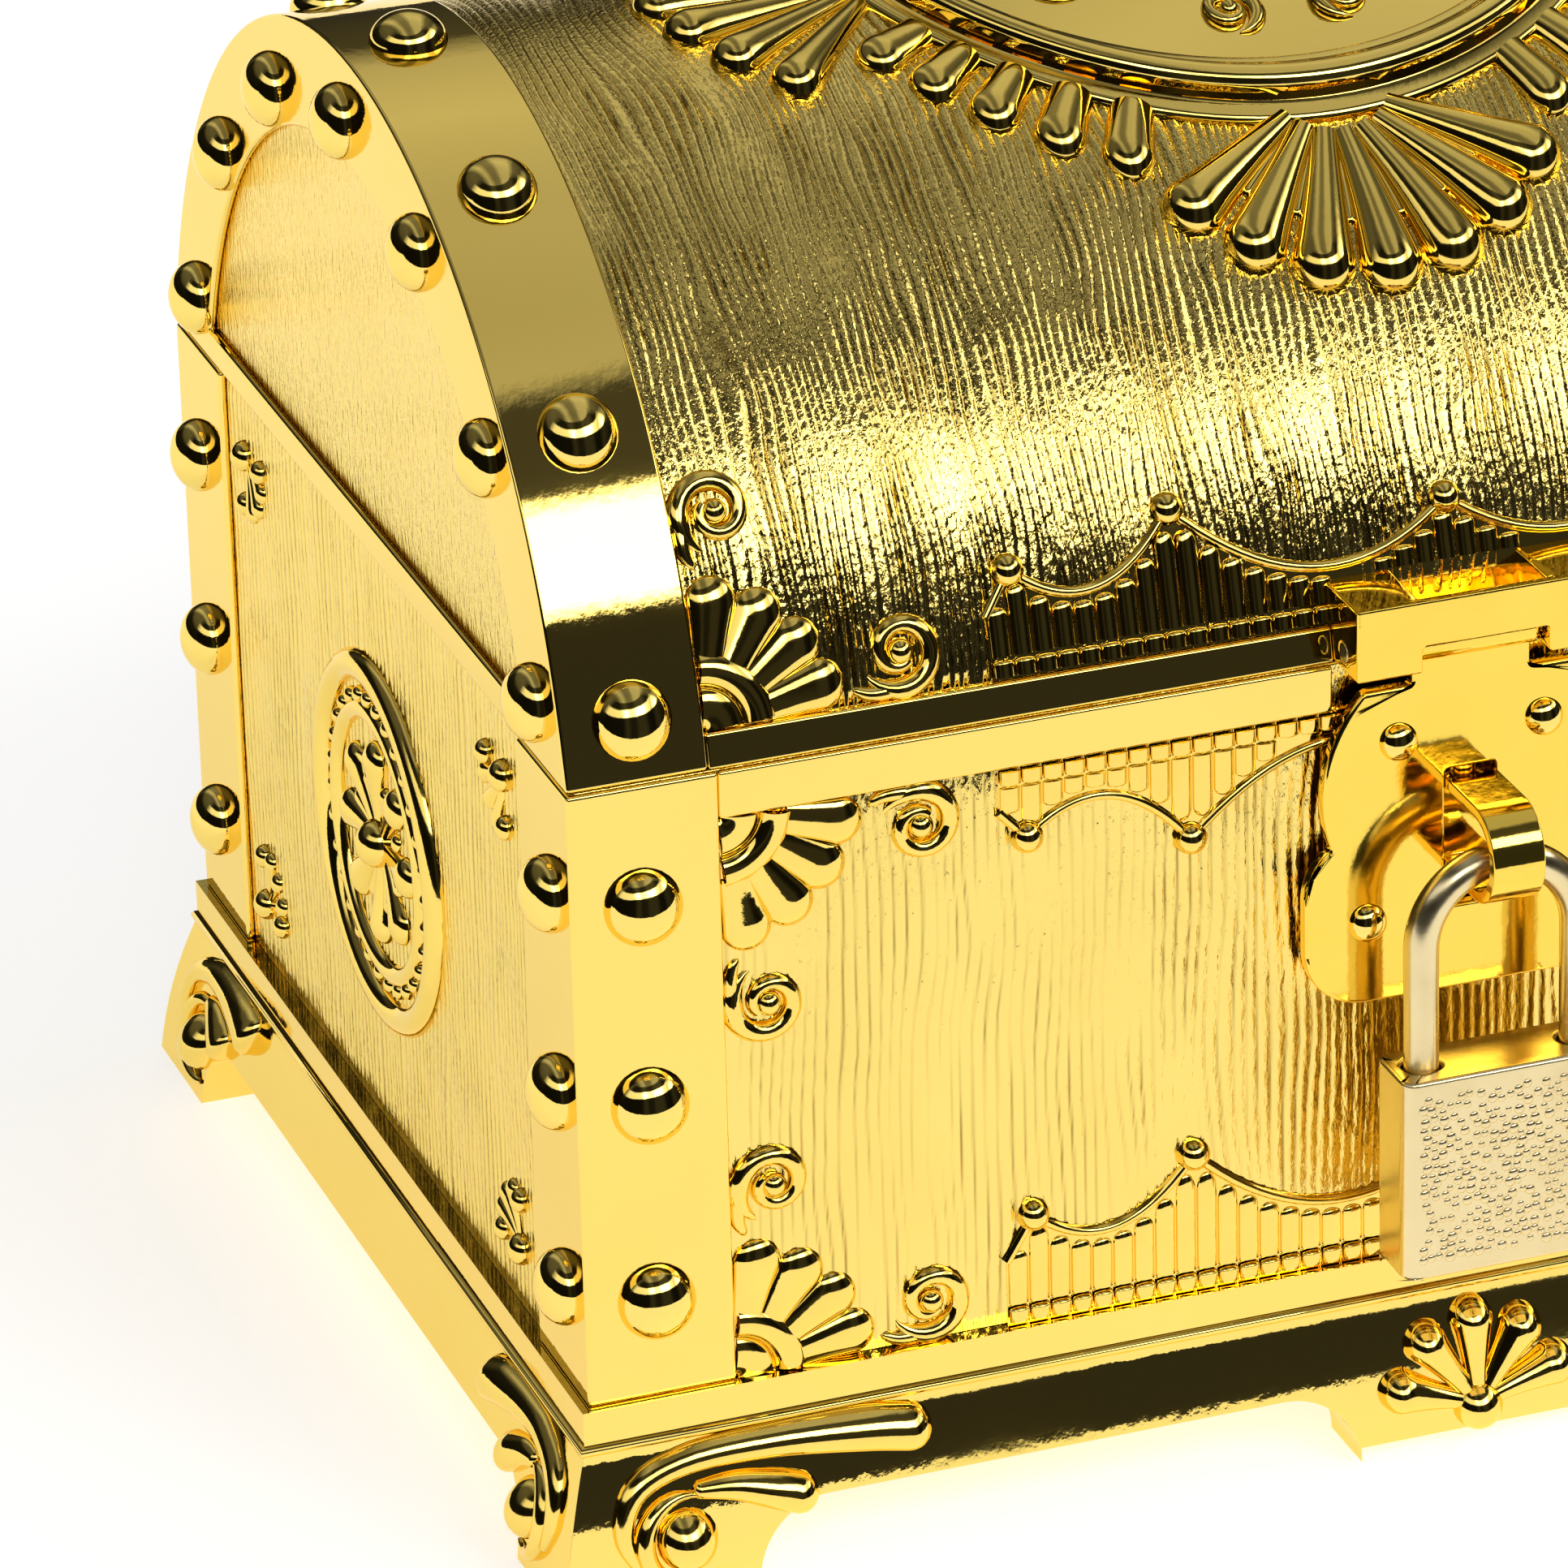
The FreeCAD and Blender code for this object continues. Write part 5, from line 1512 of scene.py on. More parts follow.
@dataclass
class BaseFrame(Pieces):
    """The base moulding, the scrolls on its feet and the shells on its apron."""

    edge: float = 0.35
    edge_steps: int = 3
    skirt_slack: float = 0.01
    board: float = 3.2
    lip: float = 0.7
    bead: float = 0.45
    bead_sides: int = 10
    leaf: tuple[Point, ...] = (
        (2.6, 3.2), (1.5, 6.2), (2.8, 9.4), (7.0, 11.0), (14.0, 11.2), (21.0, 10.8), (24.6, 10.3),
    )
    leaf_widths: tuple[float, ...] = (0.5, 0.8, 1.0, 1.1, 1.3, 1.7, 1.8)
    small_leaf: tuple[Point, ...] = ((7.2, 8.6), (10.5, 8.4), (13.6, 7.6), (15.4, 7.0))
    small_widths: tuple[float, ...] = (0.6, 1.1, 1.5, 1.6)
    leaf_rise: float = 0.95
    leaf_steps: int = 30
    leaf_bend: float = 6.0
    end_share: float = 0.62
    ball: Spot = (6.4, 5.0, 2.5)
    ball_rise: float = -0.5
    hook_away: float = 0.9
    hook_span: Point = (70.0, 290.0)
    hook_steps: int = 24
    hook_width: Point = (0.75, 0.1)
    hook_taper: float = 0.12
    hook_rise: float = 1.3
    shell_aims: tuple[float, ...] = (18.0, 54.0, 90.0, 126.0, 162.0)
    shell_centre: Point = (0.0, 3.6)
    shell_petal: Petal = Petal(1.6, 6.6, 0.8, 1.75, 1.15)
    shell_bead: tuple[float, ...] = (0.0, 3.4, 2.0, -0.1)

    def build(self) -> None:
        """Round the moulding and set the ornament on it."""
        lv = self.levels
        top = lv.floor - self.board
        self.moulding(top)
        for side, side_name in SIDES:
            for face, face_name in FACES:
                long_seat = SkirtSeat((-side, 0), (0, face), lv.half_depth, -lv.half_length, top)
                end_seat = SkirtSeat((0, -face), (side, 0), lv.half_length, -lv.half_depth, top)
                maker = MeshMaker()
                self.scroll(maker, long_seat, 1.0)
                self.scroll(maker, end_seat, self.end_share)
                self.relief(maker, f"foot_scrolls_{face_name}_{side_name}", Body.CHEST)
        self.groove_bead(top)
        for face, face_name in FACES:
            seat = SkirtSeat((1, 0), (0, face), lv.half_depth, 0.0, top)
            maker = MeshMaker()
            maker.fan(seat, self.shell_centre, self.shell_aims, self.shell_petal)
            maker.bead(seat, *self.shell_bead)
            self.relief(maker, f"apron_shell_{face_name}", Body.CHEST)

    def moulding(self, top: float) -> None:
        """Round the moulding, with its skirt drawn out to the flared line.

        Args:
            top: Height of the board's underside.
        """
        lv = self.levels
        skirt = SkirtSeat((1, 0), (0, 1), 0.0, 0.0, top)

        def flare_out(spot: Vector) -> None:
            """Set a point of the skirt's outer face on the flared line."""
            if spot.z / MM > top - self.skirt_slack:
                return
            offset = float(skirt.offset(np.array(spot.z / MM)))
            if abs(spot.x) / MM > lv.half_length:
                spot.x = math.copysign((lv.half_length + offset) * MM, spot.x)
            if abs(spot.y - MIDDLE) / MM > lv.half_depth:
                spot.y = MIDDLE + math.copysign((lv.half_depth + offset) * MM, spot.y - MIDDLE)

        self.workshop.carve("base_frame", Body.CHEST, Slot.TRIM, self.edge, self.edge_steps, flare_out)

    def groove_bead(self, level: float) -> None:
        """Run a thin bead under the board, all round the base.

        Args:
            level: Height of the board's underside.
        """
        lv = self.levels
        x, y = lv.half_length + self.lip, lv.half_depth + self.lip
        corners = np.array([(-x, -y), (x, -y), (x, y), (-x, y)])
        turn = np.linspace(0.0, FULL_TURN, self.bead_sides, endpoint=False)
        out = np.sign(corners)[:, None, :] * (self.bead * np.cos(turn))[None, :, None]
        rise = np.broadcast_to(level + self.bead * np.sin(turn), (len(corners), self.bead_sides))
        maker = MeshMaker()
        maker.loft(np.concatenate([corners[:, None, :] + out, rise[:, :, None]], axis=2), closed=True)
        self.workshop.finish(maker.mesh("base_bead"), Body.CHEST, Slot.TRIM)

    def scroll(self, maker: MeshMaker, seat: Seat, share: float) -> None:
        """Set the leaves and the ball of one foot face.

        Args:
            maker: Where the shapes are gathered.
            seat: The skirt's face, measured from the corner.
            share: How far the leaves reach past their bend, against the long face.
        """
        for points, widths in ((self.leaf, self.leaf_widths), (self.small_leaf, self.small_widths)):
            path, width = flowing(points, widths, self.leaf_steps)
            past = path[:, 0] - self.leaf_bend
            path[:, 0] = np.where(past > 0, self.leaf_bend + past * share, path[:, 0])
            maker.ridge(seat, path, width, width * self.leaf_rise)
        u, v, radius = self.ball
        turn = np.radians(np.linspace(*self.hook_span, self.hook_steps))
        away = radius + self.hook_away
        hook = np.column_stack([u + away * np.cos(turn), v + away * np.sin(turn)])
        swell, least = self.hook_width
        bow = np.linspace(self.hook_taper, math.pi - self.hook_taper, self.hook_steps)
        taper = swell * np.sin(bow) + least
        maker.ridge(seat, hook, taper, taper * self.hook_rise)
        maker.bead(seat, u, v, radius, self.ball_rise)


@dataclass
class Straps(Pieces):
    """The corner straps, the rim of the box front and their rivets."""

    strap_edge: float = 0.3
    rim_edge: float = 0.25
    rivet_radius: float = 3.0
    rivet_rise: float = 2.3
    rivet_count: int = 3
    inset: float = 5.6
    end_inset: float = 4.9
    drop: float = 9.7
    pitch: float = 16.2

    def build(self) -> None:
        """Round the straps and set the rivets."""
        lv = self.levels
        for _, face in FACES:
            for _, side in SIDES:
                self.workshop.carve(f"corner_strap_{face}_{side}", Body.CHEST, Slot.TRIM, self.strap_edge)
        for _, side in SIDES:
            self.workshop.carve(f"front_rim_{side}", Body.CHEST, Slot.TRIM, self.rim_edge)
        rows = PointRows()
        for step in range(self.rivet_count):
            level = lv.seam - self.drop - self.pitch * step
            for sign in SIGNS:
                long_seat = long_face(sign, lv.half_depth, level)
                end_seat = end_face(sign, lv.half_length, level)
                for hand in SIGNS:
                    rows.add(long_seat, hand * (lv.half_length - self.inset), 0.0, self.rivet_radius)
                    rows.add(end_seat, hand * (lv.half_depth - self.end_inset), 0.0, self.rivet_radius)
        self.rivets(rows, "box_rivets", Body.CHEST, self.rivet_radius, self.rivet_rise)


@dataclass
class FrontRelief(Pieces):
    """The corner fans and the two fringes on the box front."""

    strap_width: float = 11.7
    rim_height: float = 3.8
    fan: CornerFan = CornerFan()
    lower_fringe: Fringe = Fringe(8.9)
    upper_fringe: Fringe = Fringe(5.9)

    def build(self) -> None:
        """Raise the ornament of the front."""
        lv = self.levels
        edge = lv.half_length - self.strap_width
        rows = (
            ("lower", lv.floor, False, self.lower_fringe),
            ("upper", lv.seam - self.rim_height, True, self.upper_fringe),
        )
        for side, name in SIDES:
            for row, level, flip, _ in rows:
                maker = MeshMaker()
                self.fan.raise_on(maker, lv.on_front(side * edge, level, side > 0, flip))
                self.relief(maker, f"front_corner_{row}_{name}", Body.CHEST)
        for row, level, flip, border in rows:
            self.fringe(border, f"front_fringe_{row}", Body.CHEST, lv.on_front(0.0, level, flip=flip))


@dataclass
class EndRelief(Pieces):
    """The round medallion and the bead sprays on both ends."""

    radius: float = 15.4
    rim: Point = (1.3, 1.2)
    inner: Spot = (10.6, 0.9, 0.9)
    pearl_inset: float = 3.7
    pearl: Point = (0.75, 0.1)
    pearl_spacing: int = 12
    rosette: Rosette = Rosette(Petal(1.6, 6.9, 0.7, 1.7, 0.75), Petal(2.0, 5.0, 0.4, 0.8, 0.9))
    spray_beads: tuple[Spot, ...] = ((1.4, 1.4, 1.3), (1.2, 5.6, 1.0), (5.6, 1.2, 1.0))
    spray_rise: float = 0.1
    spray_centre: Point = (1.4, 1.4)
    spray_aims: tuple[float, ...] = (20.0, 45.0, 70.0)
    spray_petal: Petal = Petal(1.2, 4.6, 0.4, 0.9, 0.9)

    def build(self) -> None:
        """Raise the ornament of the ends."""
        lv = self.levels
        width, height = self.rim
        away = self.radius - self.pearl_inset
        for side, name in SIDES:
            seat = end_face(side, lv.wall_x, (lv.floor + lv.seam) / 2, side)
            maker = MeshMaker()
            maker.ring(seat, self.radius - width, width, height)
            maker.ring(seat, *self.inner)
            for turn in np.radians(range(0, 360, self.pearl_spacing)):
                maker.bead(seat, away * math.cos(turn), away * math.sin(turn), *self.pearl)
            self.rosette.raise_on(maker, seat)
            self.relief(maker, f"end_medallion_{name}", Body.CHEST)
            self.sprays(name, side)

    def sprays(self, name: str, side: int) -> None:
        """Raise the bead sprays of one end in its four corners.

        Args:
            name: Which end.
            side: Its sign.
        """
        wall = side * self.levels.wall_x
        low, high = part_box(f"bead_sprays_{name}")
        maker = MeshMaker()
        for y_sign in SIGNS:
            for up in (1, -1):
                y = ((low.y if y_sign < 0 else high.y) - MIDDLE) / MM
                z = (low.z if up > 0 else high.z) / MM
                seat = FlatSeat((wall, y, z), (0, -y_sign, 0), (0, 0, up), (side, 0, 0))
                for u, v, radius in self.spray_beads:
                    maker.bead(seat, u, v, radius, self.spray_rise)
                maker.fan(seat, self.spray_centre, self.spray_aims, self.spray_petal)
        self.relief(maker, f"bead_sprays_{name}", Body.CHEST)


@dataclass
class LidShell(Pieces):
    """The barrel lid with its grain, bands, rims and rivets."""

    shell_edge: float = 0.25
    band_edge: float = 0.3
    rim_edge: float = 0.2
    band_width: float = 11.0
    rim_height: float = 2.6
    grain: WoodGrain = WoodGrain(0.85, 0.34, 2.0, 5, groove=0.75)
    grain_back: float = 77.0
    grain_inset: float = 0.05
    across_steps: int = 860
    along_steps: int = 110
    rivet_radius: float = 3.0
    rivet_rise: float = 2.3
    rivet_inset: float = 5.6
    end_inset: float = 5.6
    band_angles: tuple[float, ...] = (-73.2, -48.8, -24.4, 0.0, 24.4, 48.8, 73.2)
    end_angles: tuple[float, ...] = (-71.0, -47.5, -24.0, 0.0, 24.0, 47.5, 71.0)

    def build(self) -> None:
        """Round the shell and bands, lay the grain and set the rivets."""
        lv = self.levels
        self.workshop.carve("lid_shell", Body.LID, Slot.WALL, self.shell_edge)
        for _, side in SIDES:
            self.workshop.carve(f"lid_band_{side}", Body.LID, Slot.TRIM, self.band_edge)
            self.workshop.carve(f"lid_rim_{side}", Body.LID, Slot.TRIM, self.rim_edge)
        half = lv.half_length - self.band_width
        front = lv.rim_angle(self.rim_height)
        arc = math.radians(front + self.grain_back) * lv.shell_radius
        us = np.linspace(-half, half, self.across_steps)
        vs = np.linspace(self.grain_inset, arc, self.along_steps)
        mesh = self.grain.panel("lid_grain", lv.on_lid(front), us, vs)
        self.workshop.finish(mesh, Body.LID, Slot.WALL, sharp=FINE_CREASE)
        bands, ends = PointRows(), PointRows()
        away = lv.lid_radius - self.end_inset
        for sign in SIGNS:
            x = sign * (lv.half_length - self.rivet_inset)
            for angle in self.band_angles:
                bands.add(LidSeat(x, angle, lv.lid_radius, lv.lid_axis), 0.0, 0.0, self.rivet_radius)
            face = end_face(sign, lv.half_length, lv.lid_axis)
            for turn in np.radians(self.end_angles):
                ends.add(face, -away * math.sin(turn), away * math.cos(turn), self.rivet_radius)
        for node, rows in (("lid_band_rivets", bands), ("lid_end_rivets", ends)):
            self.rivets(rows, node, Body.LID, self.rivet_radius, self.rivet_rise)


@dataclass
class Crown(Pieces):
    """The oval medallion on the crown and the shells, palmettes and fans round it."""

    length: float = 59.0
    width: float = 47.0
    steps: int = 120
    collar: float = 1.6
    profile: tuple[Point, ...] = (
        (1.6, -0.4), (1.6, 0.6), (1.4, 0.9), (1.1, 1.0), (0.3, 1.0), (0.05, 1.15), (0.0, 1.5),
        (0.0, 2.4), (-0.1, 2.9), (-0.4, 3.25), (-0.9, 3.4), (-1.4, 3.3), (-1.8, 2.95), (-2.1, 2.5),
        (-2.5, 2.3), (-2.9, 2.25), (-3.2, 2.0), (-3.4, 1.6), (-3.6, 1.25),
    )
    rim_crease: float = 50.0
    floor: float = 1.2
    floor_shares: tuple[float, ...] = (0.98, 0.7, 0.4, 0.1)
    back: float = -0.4
    back_shares: tuple[float, ...] = (0.1, 0.5)
    ring: Spot = (10.6, 0.9, 0.9)
    rosette: Rosette = Rosette(Petal(1.6, 7.0, 0.7, 1.7, 0.75), Petal(2.2, 7.6, 0.4, 0.8, 0.9))
    side_curl: Curl = Curl(3.4, 0.9)
    side_eye: Point = (15.4, 7.0)
    end_curl: Curl = Curl(2.4, 0.8)
    end_eye: Point = (4.6, 14.6)
    side_petal: Petal = Petal(1.0, 8.6, 0.5, 1.8, 0.7)
    side_start: float = 12.0
    shell_angle: float = 26.0
    shell_aims: tuple[float, ...] = (-145.0, -126.7, -108.3, -90.0, -71.7, -53.3, -35.0)
    shell_petal: Petal = Petal(5.0, 16.6, 1.1, 2.55)
    vein_petal: Petal = Petal(5.0, 12.6, 0.35, 0.6)
    vein_turn: float = 9.15
    palmette_aims: tuple[float, ...] = (132.0, 148.0, 164.0, 180.0, 196.0, 212.0, 228.0)
    palmette_petal: Petal = Petal(5.4, 18.6, 0.9, 2.15)
    palmette_inset: float = 3.0
    fan_turns: tuple[float, ...] = (24.0, 33.0, 42.0, 51.0, 60.0)
    fan_petal: Petal = Petal(1.2, 5.4, 1.75, 2.1, 0.85)

    def build(self) -> None:
        """Raise the crown ornament."""
        self.medallion()
        self.scrolls()
        self.shells()
        self.palmettes()
        self.fans()

    def oval(self, offset: float) -> np.ndarray:
        """Follow the medallion's edge at an offset from it.

        Args:
            offset: Distance outwards.

        Returns:
            Rows of x and y.
        """
        turn = np.linspace(0.0, FULL_TURN, self.steps, endpoint=False)
        a, b = self.length / 2, self.width / 2
        edge = np.column_stack([a * np.cos(turn), b * np.sin(turn)])
        out = np.column_stack([np.cos(turn) / a, np.sin(turn) / b])
        return edge + offset * out / np.linalg.norm(out, axis=1, keepdims=True)

    def medallion(self) -> None:
        """Sweep the rim round the oval and close its floor and its back."""
        outer, inner = self.oval(self.collar), self.oval(self.profile[-1][0])
        levels = [(outer * share, self.back) for share in self.back_shares]
        levels += [(self.oval(offset), out) for offset, out in self.profile]
        levels += [(inner * share, self.floor) for share in self.floor_shares]
        rings = [np.column_stack([line, np.full(self.steps, out)]) for line, out in levels]
        maker = MeshMaker()
        maker.loft_on(self.levels.on_crown(), np.array(rings))
        mesh = maker.mesh("lid_medallion_rim")
        self.workshop.finish(mesh, Body.LID, Slot.TRIM, ("lid_medallion",), self.rim_crease)

    def scrolls(self) -> None:
        """Raise the rosette and the scrolls on the medallion's floor."""
        seat = self.levels.on_crown(self.floor)
        maker = MeshMaker()
        maker.ring(seat, *self.ring)
        self.rosette.raise_on(maker, seat)
        for x in SIGNS:
            for y in SIGNS:
                hand = Hand(x * y)
                for eye, curl, lead in (
                    (self.side_eye, self.side_curl, 90.0 + 90.0 * x), (self.end_eye, self.end_curl, 90.0 * y),
                ):
                    maker.curl(seat, (x * eye[0], y * eye[1]), curl, hand, lead)
            maker.petal(seat, (x * self.side_start, 0), 90.0 - 90.0 * x, self.side_petal)
        self.relief(maker, "medallion_relief", Body.LID, "scrolls")

    def shells(self) -> None:
        """Raise the veined shells before and behind the medallion."""
        for angle, turn, name in ((self.shell_angle, 0.0, "front"), (-self.shell_angle, 180.0, "back")):
            seat = self.levels.on_lid(angle)
            aims = [aim + turn for aim in self.shell_aims]
            maker = MeshMaker()
            maker.fan(seat, (0, 0), aims, self.shell_petal)
            maker.fan(seat, (0, 0), [aim + self.vein_turn for aim in aims[:-1]], self.vein_petal)
            self.relief(maker, f"crown_shell_{name}", Body.LID)

    def palmettes(self) -> None:
        """Raise the palmettes at the medallion's ends."""
        for sign, name in SIDES:
            seat = self.levels.on_lid(0.0, sign * (self.length / 2 - self.palmette_inset))
            aims = [aim + 90.0 + 90.0 * sign for aim in self.palmette_aims]
            maker = MeshMaker()
            maker.fan(seat, (0, 0), aims, self.palmette_petal)
            self.relief(maker, f"crown_palmette_{name}", Body.LID)

    def fans(self) -> None:
        """Raise the short flutes square to the medallion's edge between shells and palmettes."""
        seat = self.levels.on_crown()
        a, b = self.length / 2, self.width / 2
        maker = MeshMaker()
        for turn in np.radians(self.fan_turns):
            for x in SIGNS:
                for y in SIGNS:
                    c, s = x * math.cos(turn), y * math.sin(turn)
                    aim = math.degrees(math.atan2(s / b, c / a))
                    maker.petal(seat, (a * c, b * s), aim, self.fan_petal)
        self.relief(maker, "crown_fans", Body.LID)


@dataclass
class LidFront(Pieces):
    """The fringe and the corner fans along the lid's front edge."""

    rim_height: float = 2.6
    band_width: float = 11.0
    bracket_half: float = 10.4
    border: Fringe = Fringe(7.9)
    fan: CornerFan = CornerFan()

    def build(self) -> None:
        """Raise the ornament along the edge."""
        lv = self.levels
        seat = lv.on_lid(lv.rim_angle(self.rim_height))
        self.fringe(self.border, "lid_fringe", Body.LID, seat, self.bracket_half)
        edge = lv.half_length - self.band_width
        for side, name in SIDES:
            maker = MeshMaker()
            self.fan.raise_on(maker, MirrorSeat(seat, side * edge, -side))
            self.relief(maker, f"lid_corner_{name}", Body.LID)


@dataclass
class Hinges(Pieces):
    """The two back hinges."""

    leaf_edge: float = 0.2
    pin_edge: float = 0.15

    def build(self) -> None:
        """Round the leaves and the pins."""
        for _, side in SIDES:
            self.workshop.carve(f"hinge_box_leaf_{side}", Body.CHEST, Slot.TRIM, self.leaf_edge)
            self.workshop.carve(f"hinge_pin_{side}", Body.CHEST, Slot.PIN, self.pin_edge)
            self.workshop.carve(f"hinge_lid_leaf_{side}", Body.LID, Slot.TRIM, self.leaf_edge)


@dataclass
class Hasp(Pieces):
    """The bracket on the lid, and the swinging hasp with its rivets and staple."""

    bracket_edge: float = 0.25
    pin_edge: float = 0.1
    plate_edge: float = 0.3
    plate_steps: int = 3
    staple_edge: float = 0.15
    rivet_radius: float = 1.5
    rivet_rise: float = 1.1
    upper_inset: float = 2.5

    def build(self) -> None:
        """Round the metalwork and set the small rivets."""
        carve = self.workshop.carve
        carve("hasp_bracket", Body.LID, Slot.HASP, self.bracket_edge)
        carve("hasp_pin", Body.LID, Slot.PIN, self.pin_edge)
        carve("hasp_plate", Body.HASP, Slot.HASP, self.plate_edge, self.plate_steps, free=True)
        carve("staple", Body.HASP, Slot.HASP, self.staple_edge)
        low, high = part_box("hasp_rivets")
        left, right = low.x / MM + self.rivet_radius, high.x / MM - self.rivet_radius
        lower, upper = low.z / MM + self.rivet_radius, high.z / MM - self.rivet_radius
        seat = FlatSeat((0, (high.y - MIDDLE) / MM, 0), (1, 0, 0), (0, 0, 1), (0, -1, 0))
        rows = PointRows()
        for inset, level in ((self.upper_inset, upper), (0.0, lower)):
            for x in (left + inset, right - inset):
                rows.add(seat, x, level, self.rivet_radius)
        self.rivets(rows, "hasp_rivets", Body.HASP, self.rivet_radius, self.rivet_rise)


@dataclass
class Padlock(Pieces):
    """The hanging padlock with its pebbled case."""

    shackle_edge: float = 0.2
    case_edge: float = 0.35
    case_steps: int = 3
    works_edge: float = 0.1
    border: float = 1.5
    panel_sink: float = 0.02
    spacing: float = 0.62
    pebble: float = 0.38
    pebble_rise: float = 0.16
    seed: int = 7

    def build(self) -> None:
        """Round the padlock's pieces and strew pebbles on its front."""
        carve = self.workshop.carve
        carve("padlock_shackle", Body.SHACKLE, Slot.LOCK, self.shackle_edge, free=True)
        carve("padlock_case", Body.CASE, Slot.LOCK, self.case_edge, self.case_steps, free=True)
        carve("padlock_plug", Body.PLUG, Slot.PLUG, self.works_edge)
        carve("padlock_latch", Body.LATCH, Slot.LOCK, self.works_edge)
        low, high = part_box("padlock_case")
        inset = self.border * MM
        left, right, y = low.x + inset, high.x - inset, low.y + self.panel_sink * MM
        lower, upper = low.z + inset, high.z - inset
        panel = quad(
            "pebble_panel", ((left, y, lower), (right, y, lower), (right, y, upper), (left, y, upper)),
        )
        mesh = run_tree(panel, pebble_tree(), {
            "Spacing": self.spacing * MM, "Radius": self.pebble * MM, "Height": self.pebble_rise * MM,
            "Seed": self.seed, "Material": self.workshop.materials[Slot.LOCK],
        })
        mesh.name = "padlock_case_pebbles"
        self.workshop.finish(mesh, Body.CASE, Slot.LOCK, sharp=FINE_CREASE)


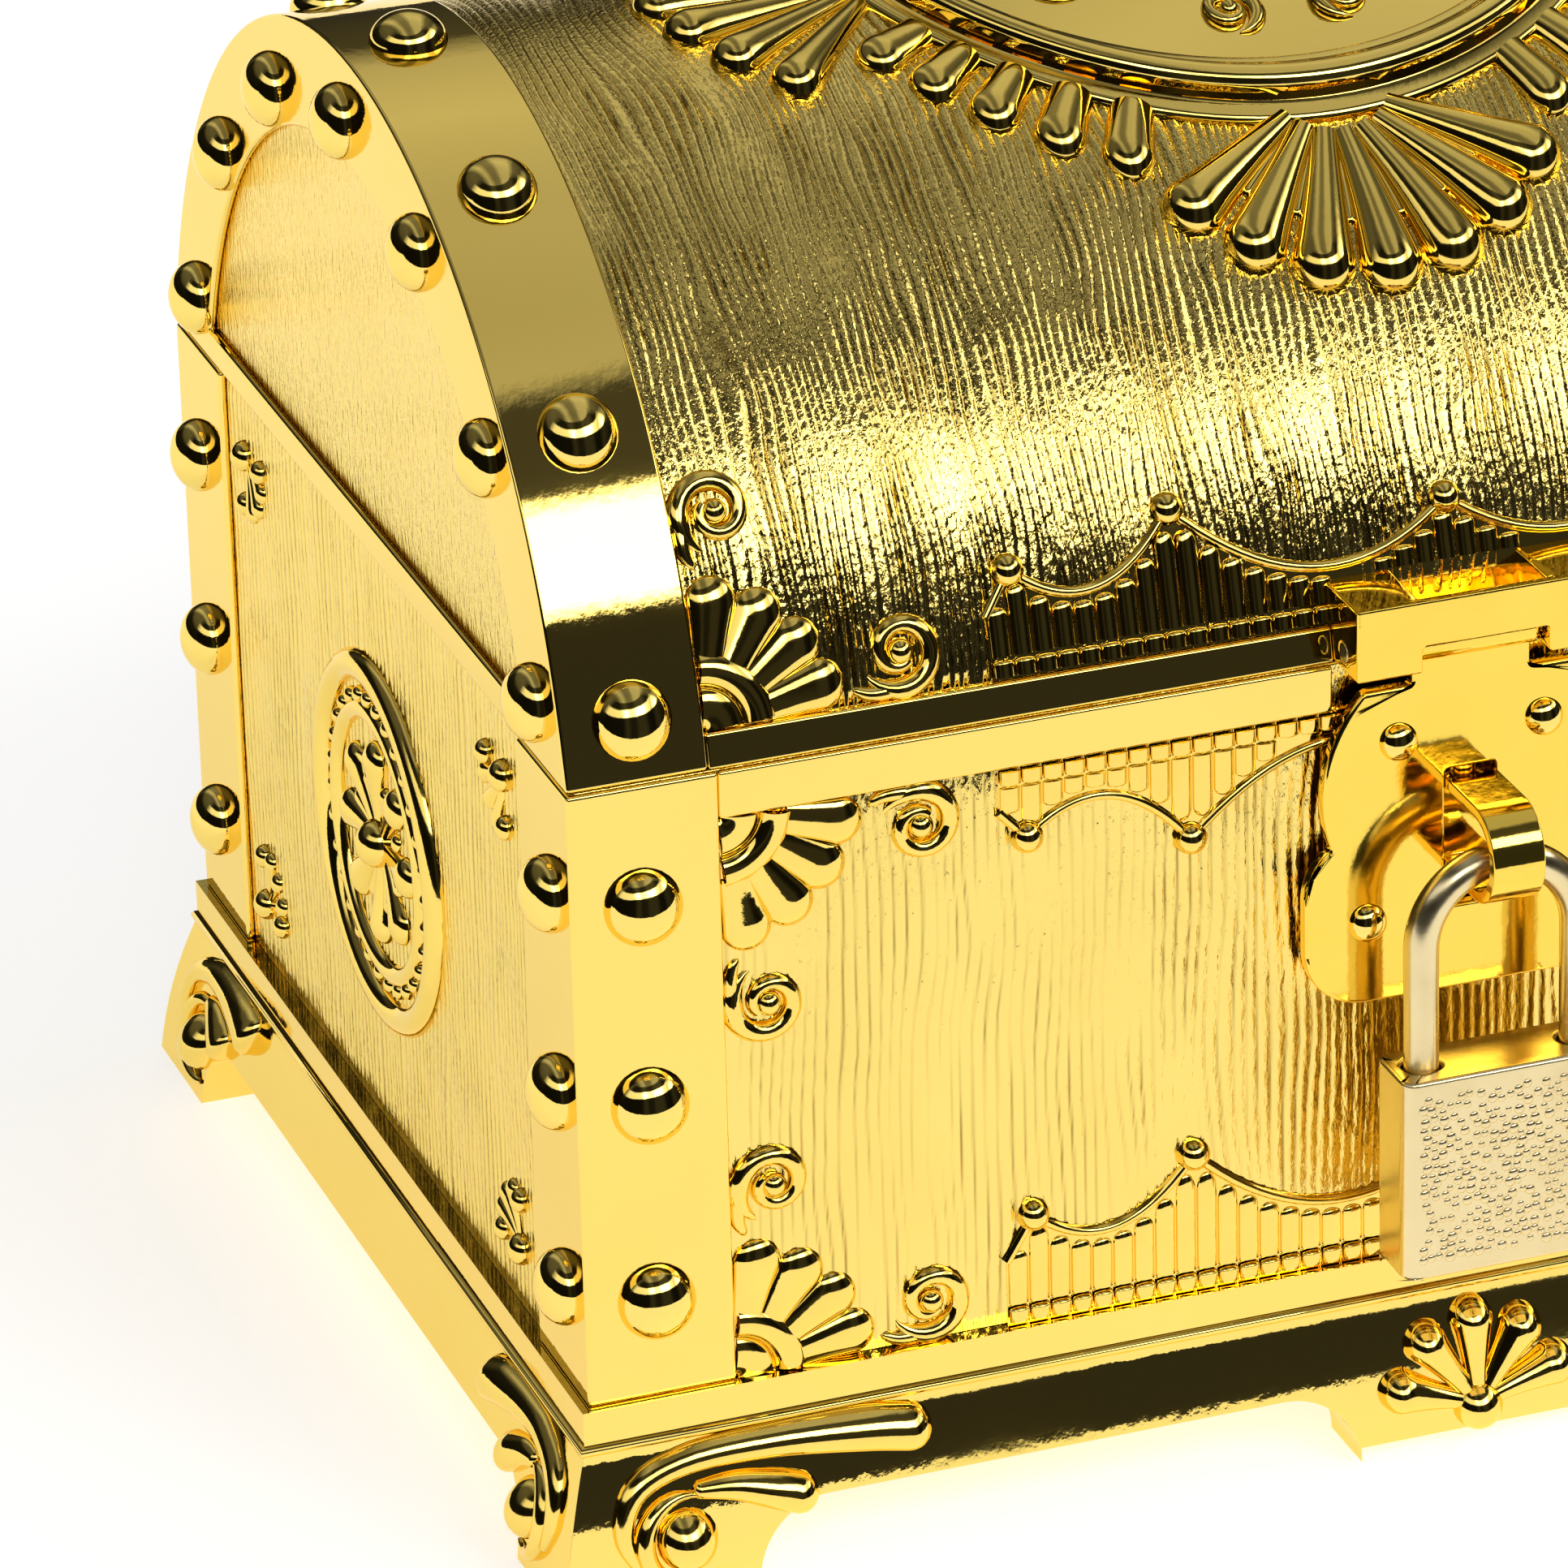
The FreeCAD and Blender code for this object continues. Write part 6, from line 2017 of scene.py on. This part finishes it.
@dataclass
class Studio:
    """The pale table, the soft light round the chest and the camera."""

    azimuth: float = -21.06
    elevation: float = 24.81
    roll: float = -0.75
    place: Spot = (-0.2739, -0.68605, 0.3781)
    lens: float = 234.8
    sensor: float = 36.0
    shift: Point = (-0.2138, -0.0140)
    near_clip: float = 0.01
    front_sky: tuple[Point, ...] = (
        (0.00, 0.005), (0.43, 0.005), (0.47, 1.0), (0.68, 1.0), (0.72, 0.01), (0.87, 0.01), (0.90, 0.08),
        (1.0, 0.07),
    )
    back_sky: tuple[Point, ...] = ((0.00, 0.005), (0.36, 0.01), (0.50, 0.08), (0.74, 0.10), (0.92, 0.08))
    panels: tuple[Point, ...] = (
        (0.00, 0.15), (0.30, 0.20), (0.38, 1.0), (0.46, 0.35), (0.54, 0.40), (0.60, 1.0), (0.73, 1.0),
        (0.79, 0.25), (0.87, 0.15), (0.93, 0.9), (1.00, 0.2),
    )
    blend: float = 0.15
    box_strength: float = 6.0
    near_edge: float = -0.215
    far_edge: float = 6.0
    table_half: float = 6.0
    table_grey: float = 0.9
    table_roughness: float = 0.9
    glow: float = 0.60

    def build(self) -> None:
        """Set up the studio."""
        self.floor()
        self.light()
        self.camera()

    def floor(self) -> None:
        """Lay the table top, whose near edge lets the skirt mirror the dark room."""
        left, right, near, far = -self.table_half, self.table_half, self.near_edge, self.far_edge
        floor = quad(
            "studio_floor", ((left, near, 0.0), (right, near, 0.0), (right, far, 0.0), (left, far, 0.0)),
        )
        material = bpy.data.materials.new("studio_floor")
        material.use_nodes = True
        shader = material.node_tree.nodes["Principled BSDF"]
        grey = self.table_grey
        for name, value in {
            "Base Color": (grey, grey, grey, 1.0), "Roughness": self.table_roughness,
            "Specular IOR Level": 0.0, "Emission Color": (1.0, 1.0, 1.0, 1.0), "Emission Strength": self.glow,
        }.items():
            shader.inputs[name].default_value = value
        floor.data.materials.append(material)

    @staticmethod
    def ramp(tree: Tree, stops: tuple[Point, ...]) -> Node:
        """Grade grey along a value.

        Args:
            tree: The tree.
            stops: Places and the grey at each.

        Returns:
            The node.
        """
        grade = add_node(tree, "ShaderNodeValToRGB")
        marks = grade.color_ramp.elements
        while len(marks) < len(stops):
            marks.new(1.0)
        for mark, (spot, grey) in zip(marks, stops):
            mark.position = spot
            mark.color = (grey, grey, grey, 1.0)
        return grade

    def light(self) -> None:
        """Make the sky: white to the camera, and bands of light and dark all round for the plating."""
        world = bpy.data.worlds.new("studio")
        bpy.context.scene.world = world
        world.use_nodes = True
        tree = world.node_tree
        tree.nodes.clear()
        white = 1 / self.box_strength
        place = add_node(tree, "ShaderNodeTexCoord")
        parts = add_node(tree, "ShaderNodeSeparateXYZ")
        side = add_node(tree, "ShaderNodeMapRange", values={"From Min": -self.blend, "From Max": self.blend})
        across = add_node(tree, "ShaderNodeMapRange", values={"From Min": -1.0})
        front, back, panes = (
            self.ramp(tree, stops) for stops in (self.front_sky, self.back_sky, self.panels)
        )
        round_sky = add_node(tree, "ShaderNodeMix", {"data_type": "RGBA"})
        paned = add_node(
            tree, "ShaderNodeMix", {"data_type": "RGBA", "blend_type": "MULTIPLY"}, {FACTOR: 1.0},
        )
        rays = add_node(tree, "ShaderNodeLightPath")
        seen = add_node(tree, "ShaderNodeMix", {"data_type": "RGBA"}, {MIX_B: (white, white, white, 1.0)})
        sky = add_node(tree, "ShaderNodeBackground", values={"Strength": self.box_strength})
        end = add_node(tree, "ShaderNodeOutputWorld")
        wire(
            tree,
            (place, "Generated", parts, "Vector"), (parts, "Y", side, "Value"),
            (parts, "X", across, "Value"), (parts, "Z", front, "Fac"), (parts, "Z", back, "Fac"),
            (across, "Result", panes, "Fac"), (side, "Result", round_sky, FACTOR),
            (front, "Color", round_sky, MIX_A), (back, "Color", round_sky, MIX_B),
            (round_sky, MIX_OUT, paned, MIX_A), (panes, "Color", paned, MIX_B),
            (rays, "Is Camera Ray", seen, FACTOR), (paned, MIX_OUT, seen, MIX_A),
            (seen, MIX_OUT, sky, "Color"), (sky, "Background", end, "Surface"),
        )

    def camera(self) -> None:
        """Set the camera at the photograph's angle."""
        a, e, r = (math.radians(v) for v in (self.azimuth, self.elevation, self.roll))
        back = Vector((math.sin(a) * math.cos(e), -math.cos(a) * math.cos(e), math.sin(e)))
        right = Vector((math.cos(a), math.sin(a), 0.0))
        up = back.cross(right)
        across = math.cos(r) * right + math.sin(r) * up
        over = math.cos(r) * up - math.sin(r) * right
        data = bpy.data.cameras.new("photo_camera")
        data.sensor_width = self.sensor
        data.lens = self.lens
        data.shift_x, data.shift_y = self.shift
        data.clip_start = self.near_clip
        camera = link_object("photo_camera", data)
        turned = Matrix((across, over, back)).transposed().to_4x4()
        camera.matrix_world = Matrix.Translation(self.place) @ turned
        bpy.context.scene.camera = camera


ASSEMBLIES = (
    Carcass, BaseFrame, Straps, FrontRelief, EndRelief, LidShell, Crown, LidFront, Hinges, Hasp, Padlock,
)


def main() -> None:
    """Build the chest in order, then the studio."""
    logging.basicConfig(level=logging.INFO, format="%(name)s: %(message)s")
    bpy.context.scene.view_settings.view_transform = "Standard"
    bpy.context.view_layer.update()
    workshop = Workshop.open()
    repeater = Repeater.ready(workshop)
    shared = (workshop, repeater, Levels.read())
    for assembly in ASSEMBLIES:
        assembly(*shared).build()
        log.info("%s is done", assembly.__name__)
    repeater.close()
    Studio().build()


if __name__ == "__main__":
    main()
